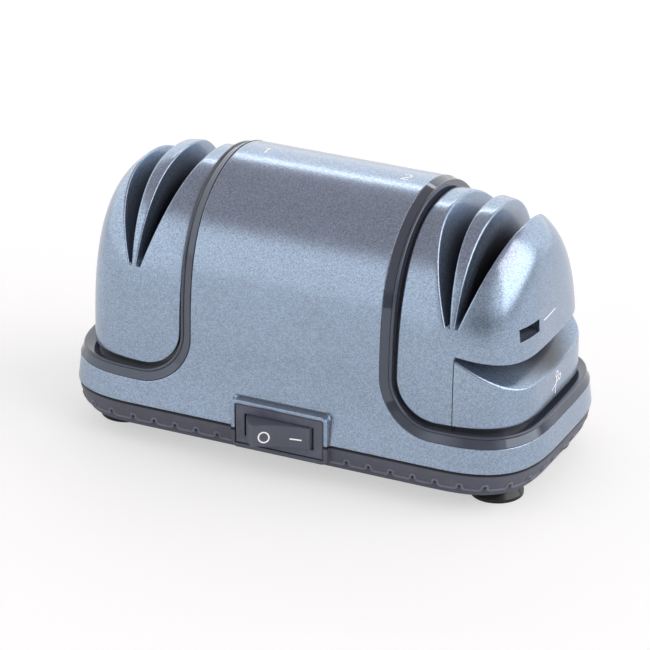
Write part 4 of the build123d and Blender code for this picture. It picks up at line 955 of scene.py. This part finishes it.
# --- shader nodes ---------------------------------------------------------------------------
def put(tree, kind, inputs=(), **settings):
    """Add a node. inputs maps a socket's name or number to a value or to another socket."""
    made = tree.nodes.new("ShaderNode" + kind)
    for key, value in settings.items():
        setattr(made, key, value)
    for key, value in dict(inputs).items():
        if isinstance(value, bpy.types.NodeSocket):
            tree.links.new(value, made.inputs[key])
        else:
            made.inputs[key].default_value = value
    return made


def calc(tree, operation, *values):
    """Result of a sum on numbers."""
    return put(tree, "Math", dict(enumerate(values)), operation=operation).outputs[0]


def vector_calc(tree, operation, *values):
    """Result of a sum on directions or places."""
    return put(tree, "VectorMath", dict(enumerate(values)), operation=operation).outputs[0]


def times(tree, a, b):
    """Product of two numbers."""
    return calc(tree, "MULTIPLY", a, b)


def ranged(tree, value, low, high, to_low, to_high):
    """A number that runs from to_low to to_high while value runs from low to high."""
    return put(tree, "MapRange", {"Value": value, "From Min": low, "From Max": high,
                                  "To Min": to_low, "To Max": to_high}).outputs[0]


def scaled(tree, colour, amount):
    """Colour or direction times a number."""
    return put(tree, "VectorMath", {0: colour, "Scale": amount}, operation="SCALE").outputs[0]


def swung(tree, colour, swing):
    """Colour made lighter or darker by a share around 0."""
    return scaled(tree, colour, calc(tree, "ADD", swing, 1.0))


def mixed(tree, share, colour, other):
    """Colour that gives way to another one as share runs from 0 to 1."""
    return put(tree, "Mix", {0: share, 6: colour, 7: other}, data_type="RGBA").outputs[2]


def place_on_piece(tree):
    """Place in the piece's own frame, in metres."""
    return put(tree, "TexCoord").outputs["Object"]


def noise(tree, where, scale, detail=2.0):
    """Soft random number between about 0.3 and 0.7."""
    return put(tree, "TexNoise", {"Vector": where, "Scale": scale, "Detail": detail}).outputs[0]


def new_group(name, inputs, outputs):
    """Empty node group. inputs maps a socket's name to its usual value, whose length gives its
    kind, and outputs maps a name to a kind. Gives the tree, its input sockets and its end."""
    tree = bpy.data.node_groups.new(name, "ShaderNodeTree")
    for label, value in inputs.items():
        kind = {1: "Float", 3: "Vector", 4: "Color"}[np.size(value)]
        socket = tree.interface.new_socket(label, in_out="INPUT", socket_type="NodeSocket" + kind)
        socket.default_value = value
    for label, kind in outputs.items():
        tree.interface.new_socket(label, in_out="OUTPUT", socket_type="NodeSocket" + kind)
    return tree, tree.nodes.new("NodeGroupInput").outputs, tree.nodes.new("NodeGroupOutput")


def finish_group(tree, end, **outputs):
    """Link a group's results to its end node."""
    for label, socket in outputs.items():
        tree.links.new(socket, end.inputs[label])
    return tree


GREY = (0.5, 0.5, 0.5, 1)


def build_grain():
    """Fine and broad variation of colour, roughness and height for moulded and machined parts."""
    tree, given, end = new_group("fine_grain", {
        "Colour": GREY, "Spread": 0.1, "Scale": 2000.0, "Stretch": (1, 1, 1),
        "Roughness": 0.5, "Rough Spread": 0.08},
        {"Colour": "Color", "Roughness": "Float", "Height": "Float"})
    where = vector_calc(tree, "MULTIPLY", place_on_piece(tree), given["Stretch"])
    fine = noise(tree, where, given["Scale"], 3.0)
    broad = noise(tree, where, times(tree, given["Scale"], 0.04))
    both = ranged(tree, calc(tree, "ADD", fine, broad), 0.7, 1.3, -1.0, 1.0)
    rough = times(tree, ranged(tree, broad, 0.3, 0.7, -1.0, 1.0), given["Rough Spread"])
    return finish_group(tree, end, Height=fine,
                        Colour=swung(tree, given["Colour"], times(tree, both, given["Spread"])),
                        Roughness=calc(tree, "ADD", rough, given["Roughness"]))


def build_flake():
    """Metal flakes in paint: every small cell has its own brightness and its own slight tilt."""
    tree, given, end = new_group("metal_flake", {
        "Colour": GREY, "Scale": 3600.0, "Spread": 0.12, "Tilt": 0.05},
        {"Colour": "Color", "Normal": "Vector"})
    cell = put(tree, "TexVoronoi", {"Vector": place_on_piece(tree), "Scale": given["Scale"]})
    random = cell.outputs["Color"]
    red = put(tree, "SeparateColor", {0: random}).outputs[0]
    swing = times(tree, ranged(tree, red, 0.0, 1.0, -1.0, 1.0), given["Spread"])
    aside = vector_calc(tree, "SUBTRACT", random, GREY[:3])
    lean = vector_calc(tree, "ADD", put(tree, "NewGeometry").outputs["Normal"],
                       scaled(tree, aside, given["Tilt"]))
    return finish_group(tree, end, Colour=swung(tree, given["Colour"], swing),
                        Normal=vector_calc(tree, "NORMALIZE", lean))


def build_wear():
    """Colour rubbed lighter along outer edges, in patches."""
    tree, given, end = new_group("edge_wear", {
        "Colour": GREY, "Worn Colour": (0.7, 0.7, 0.7, 1), "Amount": 0.3}, {"Colour": "Color"})
    edge = ranged(tree, put(tree, "NewGeometry").outputs["Pointiness"], 0.51, 0.58, 0.0, 1.0)
    patch = ranged(tree, noise(tree, place_on_piece(tree), 260.0, 4.0), 0.42, 0.62, 0.2, 1.0)
    mask = times(tree, times(tree, edge, patch), given["Amount"])
    return finish_group(tree, end,
                        Colour=mixed(tree, mask, given["Colour"], given["Worn Colour"]))


def build_film():
    """Faint broad film of handling and dust: colour drifts a little and the gloss with it."""
    tree, given, end = new_group("handling_film", {
        "Colour": GREY, "Roughness": 0.4, "Amount": 0.05},
        {"Colour": "Color", "Roughness": "Float"})
    film = ranged(tree, noise(tree, place_on_piece(tree), 38.0, 5.0), 0.3, 0.7, -1.0, 1.0)
    swing = times(tree, film, given["Amount"])
    return finish_group(tree, end, Colour=swung(tree, given["Colour"], swing),
                        Roughness=calc(tree, "ADD", swing, given["Roughness"]))


GRAIN, FLAKE, WEAR, FILM = build_grain(), build_flake(), build_wear(), build_film()


def use(tree, group, **values):
    """Place a group; values are given by socket name with underscores for spaces."""
    named = {key.replace("_", " "): value for key, value in values.items()}
    return put(tree, "Group", named, node_tree=group).outputs


def new_material(name, **sockets):
    """Material with a Principled shader; sockets are constants of the shader itself."""
    material = bpy.data.materials.new(name)
    material.use_nodes = True
    shader = material.node_tree.nodes["Principled BSDF"]
    for key, value in sockets.items():
        shader.inputs[key.replace("_", " ")].default_value = value
    return material, material.node_tree, shader.inputs


def connect(tree, shader, **sources):
    """Link results to the shader's sockets."""
    for key, source in sources.items():
        tree.links.new(source, shader[key.replace("_", " ")])


def grained(name, colour, rough=0.5, metal=0.0, scale=2000.0, spread=0.08, height=0.01,
            stretch=(1, 1, 1), worn=None, wear=0.3, **sockets):
    """Moulded, machined or ground surface: grain, edge wear, and bump of height millimetres."""
    material, tree, shader = new_material(name, Metallic=metal, **sockets)
    grain = use(tree, GRAIN, Colour=(*colour, 1), Spread=spread, Scale=scale, Stretch=stretch,
                Roughness=rough, Rough_Spread=rough * 0.15)
    film = use(tree, FILM, Colour=grain["Colour"], Roughness=grain["Roughness"], Amount=0.03)
    worn = worn or tuple(min(1.0, c * 1.6 + 0.02) for c in colour)
    edge = use(tree, WEAR, Colour=film["Colour"], Worn_Colour=(*worn, 1), Amount=wear)
    bump = put(tree, "Bump", {"Height": grain["Height"], "Distance": height * MM,
                              "Strength": 1.0}).outputs[0]
    connect(tree, shader, Base_Color=edge["Colour"], Roughness=film["Roughness"], Normal=bump)
    return material


def paint_material():
    """Blue-grey metallic paint under a thin clear coat. Down the slots, round the covers' rims
    and in the switch frame's hollow a vertex value paints shade: as it rises to 1 the paint gives
    way to a dark, non-metallic colour."""
    material, tree, shader = new_material("metallic_paint", Coat_Weight=0.45,
                                          Coat_Roughness=0.12)
    flake = use(tree, FLAKE, Colour=(0.345, 0.445, 0.585, 1), Scale=3800.0, Spread=0.28,
                Tilt=0.015)
    grain = use(tree, GRAIN, Colour=flake["Colour"], Spread=0.04, Scale=2600.0, Roughness=0.23,
                Rough_Spread=0.01)
    film = use(tree, FILM, Colour=grain["Colour"], Roughness=grain["Roughness"], Amount=0.012)
    edge = use(tree, WEAR, Colour=film["Colour"], Worn_Colour=(0.52, 0.58, 0.66, 1), Amount=0.25)
    # Painted shade: the vertex value mixes the paint towards dark and takes its metal share away.
    recess_shade = put(tree, "Attribute", attribute_name="recess_shade").outputs["Fac"]
    connect(tree, shader, Base_Color=mixed(tree, recess_shade, edge["Colour"], (0.042, 0.045, 0.055, 1)),
            Metallic=ranged(tree, recess_shade, 0.0, 1.0, 0.85, 0.0),
            Roughness=film["Roughness"], Normal=flake["Normal"])
    return material


def base_material():
    """Base tray's textured plastic. Its lip over z = 14.3 lies in the seam and is painted dark as
    shade, and painted shade darkens the notches, where the plan (|x|-54)^2.6 + |y|^4, scaled to 1
    at the band's outline of 83.3 by 39.9 mm, is under 0.92."""
    material = grained("base_plastic", (0.095, 0.104, 0.141), 0.46, scale=2600.0, height=0.012,
                       spread=0.10, worn=(0.16, 0.17, 0.21), wear=0.25)
    tree = material.node_tree
    where = vector_calc(tree, "SUBTRACT", place_on_piece(tree), (0, CENTRE_SHIFT * MM, 0))
    x, y, z = put(tree, "SeparateXYZ", {0: where}).outputs
    along = ranged(tree, calc(tree, "ABSOLUTE", x), PLAN_STRAIGHT * MM, 83.3 * MM, 0.0, 1.0)
    across = times(tree, calc(tree, "ABSOLUTE", y), 1 / (39.9 * MM))
    plan = calc(tree, "ADD", calc(tree, "POWER", along, PLAN_POWER_X),
                calc(tree, "POWER", across, PLAN_POWER_Y))
    # Painted shade in the notches, and below it painted shade in the seam over z = 14.3.
    notch_shade = times(tree, ranged(tree, plan, 0.89, 0.94, 0.85, 0.0),
                  times(tree, ranged(tree, z, 8.9 * MM, 9.2 * MM, 0.0, 1.0),
                        ranged(tree, z, 12.0 * MM, 12.4 * MM, 1.0, 0.0)))
    shade = times(tree, calc(tree, "SUBTRACT", 1.0, notch_shade),
                  ranged(tree, z, 14.1 * MM, 14.35 * MM, 1.0, 0.05))
    colour = tree.nodes["Principled BSDF"].inputs["Base Color"]
    tree.links.new(scaled(tree, colour.links[0].from_socket, shade), colour)
    return material


# --- finishes: for each slot its nodes, colour, roughness, metal share and grain --------------
def look(nodes, *values, **more):
    """One row of the table below."""
    return nodes.split(), values, more


FINISHES = {
    "glossy_dark": look("left_trim right_trim", (0.048, 0.055, 0.080), 0.08, spread=0.04,
                        height=0.001, scale=900.0, wear=0.2, Specular_IOR_Level=0.9,
                        Specular_Tint=(0.70, 0.84, 1.0, 1), Coat_Weight=0.5, Coat_Roughness=0.03),
    "foot_rubber": look("foot_front_left foot_front_right foot_rear_left foot_rear_right",
                        (0.012, 0.012, 0.014), 0.18, spread=0.1, height=0.003),
    "switch_plastic": look("switch_body switch_rocker", (0.104, 0.116, 0.156), 0.42,
                           scale=2400.0, height=0.008),
    "contact_brass": look("switch_terminals", (0.62, 0.44, 0.17), 0.3, 1.0),
    "bush_rubber": look("cable_bush", (0.030, 0.030, 0.034), 0.6, height=0.02),
    "screw_steel": look("housing_screws cover_screws clamp_screws", (0.50, 0.50, 0.52), 0.32,
                        1.0, height=0.004),
    "motor_steel": look("motor_can left_end_cap right_end_cap motor_clamp", (0.56, 0.57, 0.58),
                        0.34, 1.0, scale=900.0, stretch=(0.1, 1, 1), height=0.004),
    "bearing_bronze": look("left_bush right_bush", (0.50, 0.31, 0.13), 0.45, 1.0, scale=3000.0,
                           height=0.02),
    "ferrite": look("front_magnet rear_magnet", (0.060, 0.060, 0.064), 0.55, scale=2500.0,
                    height=0.02),
    "carbon": look("motor_brushes", (0.022, 0.022, 0.022), 0.5, height=0.02),
    "ground_steel": look("motor_shaft", (0.62, 0.62, 0.64), 0.2, 1.0, scale=4000.0,
                         stretch=(1, 0.05, 0.05), height=0.003),
    "lamination_steel": look("armature_core", (0.26, 0.27, 0.29), 0.42, 1.0, scale=1500.0,
                             stretch=(1, 0.01, 0.01), height=0.05, spread=0.25),
    "copper": look("armature_windings commutator", (0.60, 0.22, 0.09), 0.28, 1.0, scale=1800.0,
                   stretch=(0.06, 1, 1), height=0.08, spread=0.2),
    "coarse_grit": look("coarse_wheel", (0.20, 0.18, 0.16), 0.8, scale=3200.0, spread=0.45,
                        height=0.12),
    "fine_grit": look("fine_wheel", (0.42, 0.37, 0.30), 0.75, scale=6500.0, spread=0.3,
                      height=0.05),
    "hub_alloy": look("left_wheel_hub right_wheel_hub", (0.70, 0.71, 0.73), 0.28, 1.0,
                      scale=3500.0, stretch=(1, 0.06, 0.06), height=0.004),
    "nut_steel": look("left_wheel_washer right_wheel_washer left_wheel_nut right_wheel_nut",
                      (0.46, 0.46, 0.49), 0.3, 1.0, height=0.004),
    "board_resin": look("rectifier_board", (0.16, 0.20, 0.06), 0.5, scale=1600.0,
                        stretch=(1, 1, 0.1), height=0.01),
    "black_epoxy": look("board_components", (0.024, 0.024, 0.027), 0.4, height=0.01),
}
PAINT = paint_material()
MATERIALS = {slot: grained(slot, *values, **more)
             for slot, (_, values, more) in FINISHES.items()}
MATERIALS.update(metallic_paint=PAINT, dark_plastic=base_material())
# The band's lip is a lighter copy of the base plastic: a painted highlight along its edge.
LIP_HIGHLIGHT = grained("base_lip_highlight", (0.150, 0.165, 0.215), 0.34, scale=2600.0, height=0.006, spread=0.10)
# The marks' ink also glows faintly though it is no lamp: painted brightness on the print.
GLOWING_MARK_INK = grained("glowing_mark_ink", (0.95, 0.96, 0.97), 0.5, scale=1500.0, spread=0.05, height=0.004,
                   Emission_Color=(1, 1, 1, 1), Emission_Strength=0.2)

NODES_OF_SLOT = {slot: nodes for slot, (nodes, _, _) in FINISHES.items()}
NODES_OF_SLOT.update(metallic_paint=["main_housing", "left_cover", "right_cover",
                                     "scissor_guide"], dark_plastic=["base_tray"])
for slot, nodes in NODES_OF_SLOT.items():
    for name in nodes:
        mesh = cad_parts[name].data
        mesh.materials.clear()
        mesh.materials.append(MATERIALS[slot])

# --- the pieces -----------------------------------------------------------------------------
for name, patches, more in (
        ("housing_skin", housing_patches(), dict(replaces=["main_housing"], drop=housing_holes)),
        ("switch_frame", switch_frame_patches(), dict(inside=frame_shade)),
        ("bush_pad", bush_pad_patches(), {}),
        ("right_cover_skin", right_cover_patches(),
         dict(replaces=["right_cover"], finish=cut_driver_slot, inside=recess_shade_share)),
        ("left_cover_skin", mirror_x(left_cover_patches()),
         dict(replaces=["left_cover"], inside=lambda p: recess_shade_share(p * MIRROR))),
        ("scissor_guide_skin", guide_patches(),
         dict(replaces=["scissor_guide"], inside=lambda p: recess_shade_share(p, GUIDE_BULGE)))):
    make_piece(name, patches, PAINT, slot="metallic_paint", **more)
for name, patches, node in (("right_trim_ring", trim_patches(), "right_trim"),
                            ("left_trim_ring", mirror_x(trim_patches()), "left_trim")):
    make_piece(name, patches, MATERIALS["glossy_dark"], slot="glossy_dark", replaces=[node])
make_piece("base_band_lip", band_bead_patches(), LIP_HIGHLIGHT, slot="dark_plastic")
make_piece("rocker_skin", rocker_patches(), MATERIALS["switch_plastic"], body="rocker",
           slot="switch_plastic", replaces=["switch_rocker"])
make_piece("rocker_marks", rocker_mark_patches(), GLOWING_MARK_INK, body="rocker", toward=(0, -1, 0))
for name, patches, toward in (("numeral_one", one_patches(-25.3, 1.3), (0, 0, 1)),
                              ("numeral_two", two_patches(26.0, 0.7), (0, 0, 1)),
                              ("nose_mark", nose_mark_patches(), (1, 0, 0)),
                              ("scissor_sign", scissor_sign_patches(), (1, 0, 0))):
    make_piece(name, patches, GLOWING_MARK_INK, toward=toward)

# --- camera, lights and floor ---------------------------------------------------------------
AZIMUTH, ELEVATION = math.radians(25.43), math.radians(25.29)
DISTANCE, LENS = 1.3095, 217.2                   # metres from the target; focal length
TARGET_RIGHT, TARGET_UP = -2.88 * MM, 37.82 * MM
ROOM_STRENGTH, PANEL_STRENGTH = 0.43, 2.5        # least glow all round; the bright panel
WALL_LOW, WALL_HIGH = 0.50, 0.70                 # sines between which the walls' light ends
DIM_STRIP = 0.35                                 # share of the glow left in the dark strip
FLOOR_COLOUR, FLOOR_GLOW = (0.90, 0.93, 0.93, 1), 1.42
FLOOR_SEEN, FLOOR_MIRRORED = 0.36, 0.25          # shares of that glow to the eye and in gloss


def set_up(thing, place_at, along):
    """Put a camera or lamp at a place, looking along a direction with its top upwards."""
    bpy.context.scene.collection.objects.link(thing)
    thing.location = place_at
    thing.rotation_mode = "QUATERNION"
    thing.rotation_quaternion = along.to_track_quat("-Z", "Y")


scene = bpy.context.scene
scene.view_settings.view_transform = "Standard"
back = Vector((math.sin(AZIMUTH) * math.cos(ELEVATION), -math.cos(AZIMUTH) * math.cos(ELEVATION),
               math.sin(ELEVATION)))
right = Vector((math.cos(AZIMUTH), math.sin(AZIMUTH), 0))
target = right * TARGET_RIGHT + Vector((0, CENTRE_SHIFT * MM, TARGET_UP))
camera_data = bpy.data.cameras.new("camera")
camera_data.lens, camera_data.sensor_width = LENS, 36
camera_data.clip_start, camera_data.clip_end = 0.05, 20
scene.camera = bpy.data.objects.new("camera", camera_data)
set_up(scene.camera, target + back * DISTANCE, -back)

# A soft panel of light behind and above, 0.95 m wide and 0.16 m high.
strip = bpy.data.lights.new("back_strip", "AREA")
strip.energy, strip.shape = 1.45, "RECTANGLE"
strip.size, strip.size_y = 0.95, 0.16
strip_at = Vector((-0.34, 1.10, 1.04))
set_up(bpy.data.objects.new("back_strip", strip), strip_at, Vector((0, 0, 0.05)) - strip_at)

world = bpy.data.worlds.new("studio")
scene.world = world
world.use_nodes = True
sky = world.node_tree
where = put(sky, "SeparateXYZ", {0: put(sky, "TexCoord").outputs["Generated"]}).outputs
level = put(sky, "CombineXYZ", {0: where[0], 1: where[1], 2: 0.0}).outputs[0]
level = vector_calc(sky, "NORMALIZE", level)


def facing(degrees, far, near):
    """1 where the direction lies close to a bearing, 0 away from it. Bearings run from the front
    towards the right; far and near are cosines of the angles between which it fades."""
    turn = math.radians(degrees)
    dot = put(sky, "VectorMath", {0: level, 1: (math.sin(turn), -math.cos(turn), 0.0)},
              operation="DOT_PRODUCT").outputs["Value"]
    return ranged(sky, dot, far, near, 0.0, 1.0)


# Heights below are sines of the angle over the horizon. The walls are light all round up to
# about 33 degrees, less so in a gap ahead on the right, and above them the room is dim. Low on
# the right, up to about 10 degrees, a dark strip takes two thirds of that light away, and over
# it, up to about 53 degrees, stands a bright panel.
low_part = ranged(sky, where[2], WALL_LOW, WALL_HIGH, 1.0, 0.0)
gap_part = ranged(sky, facing(14.0, 0.80, 0.96), 0.0, 1.0, 0.74, 0.0)
glow = calc(sky, "ADD", times(sky, low_part, gap_part), ROOM_STRENGTH)
dark_part = times(sky, facing(75.0, 0.30, 0.50), ranged(sky, where[2], 0.13, 0.22, 1.0, 0.0))
glow = times(sky, glow, ranged(sky, dark_part, 0.0, 1.0, 1.0, DIM_STRIP))
panel = times(sky, times(sky, ranged(sky, where[2], 0.09, 0.17, 0.0, PANEL_STRENGTH),
                         ranged(sky, where[2], 0.78, 0.84, 1.0, 0.0)), facing(98.0, 0.76, 0.84))
connect(sky, sky.nodes["Background"].inputs, Strength=calc(sky, "MAXIMUM", glow, panel),
        Color=mixed(sky, low_part, (1.0, 0.85, 0.85, 1), (1, 1, 1, 1)))

# The floor scatters light plainly, and glows white to the eye and a little less so in gloss.
floor_mesh = bpy.data.meshes.new("floor")
floor_mesh.from_pydata([(-4, -4, 0), (4, -4, 0), (4, 4, 0), (-4, 4, 0)], [], [(0, 1, 2, 3)])
floor = bpy.data.objects.new("floor", floor_mesh)
scene.collection.objects.link(floor)
floor_material = bpy.data.materials.new("floor")
floor_material.use_nodes = True
tree = floor_material.node_tree
tree.nodes.clear()
ray = put(tree, "LightPath").outputs
seen = calc(tree, "MAXIMUM", ray["Is Camera Ray"],
            times(tree, ray["Is Glossy Ray"], FLOOR_MIRRORED))
plain = put(tree, "BsdfDiffuse", {"Color": FLOOR_COLOUR}).outputs[0]
white = put(tree, "Emission", {"Color": (1, 1, 1, 1), "Strength": FLOOR_GLOW}).outputs[0]
surface = put(tree, "MixShader", {0: times(tree, seen, FLOOR_SEEN), 1: plain, 2: white})
put(tree, "OutputMaterial", {"Surface": surface.outputs[0]})
floor_mesh.materials.append(floor_material)
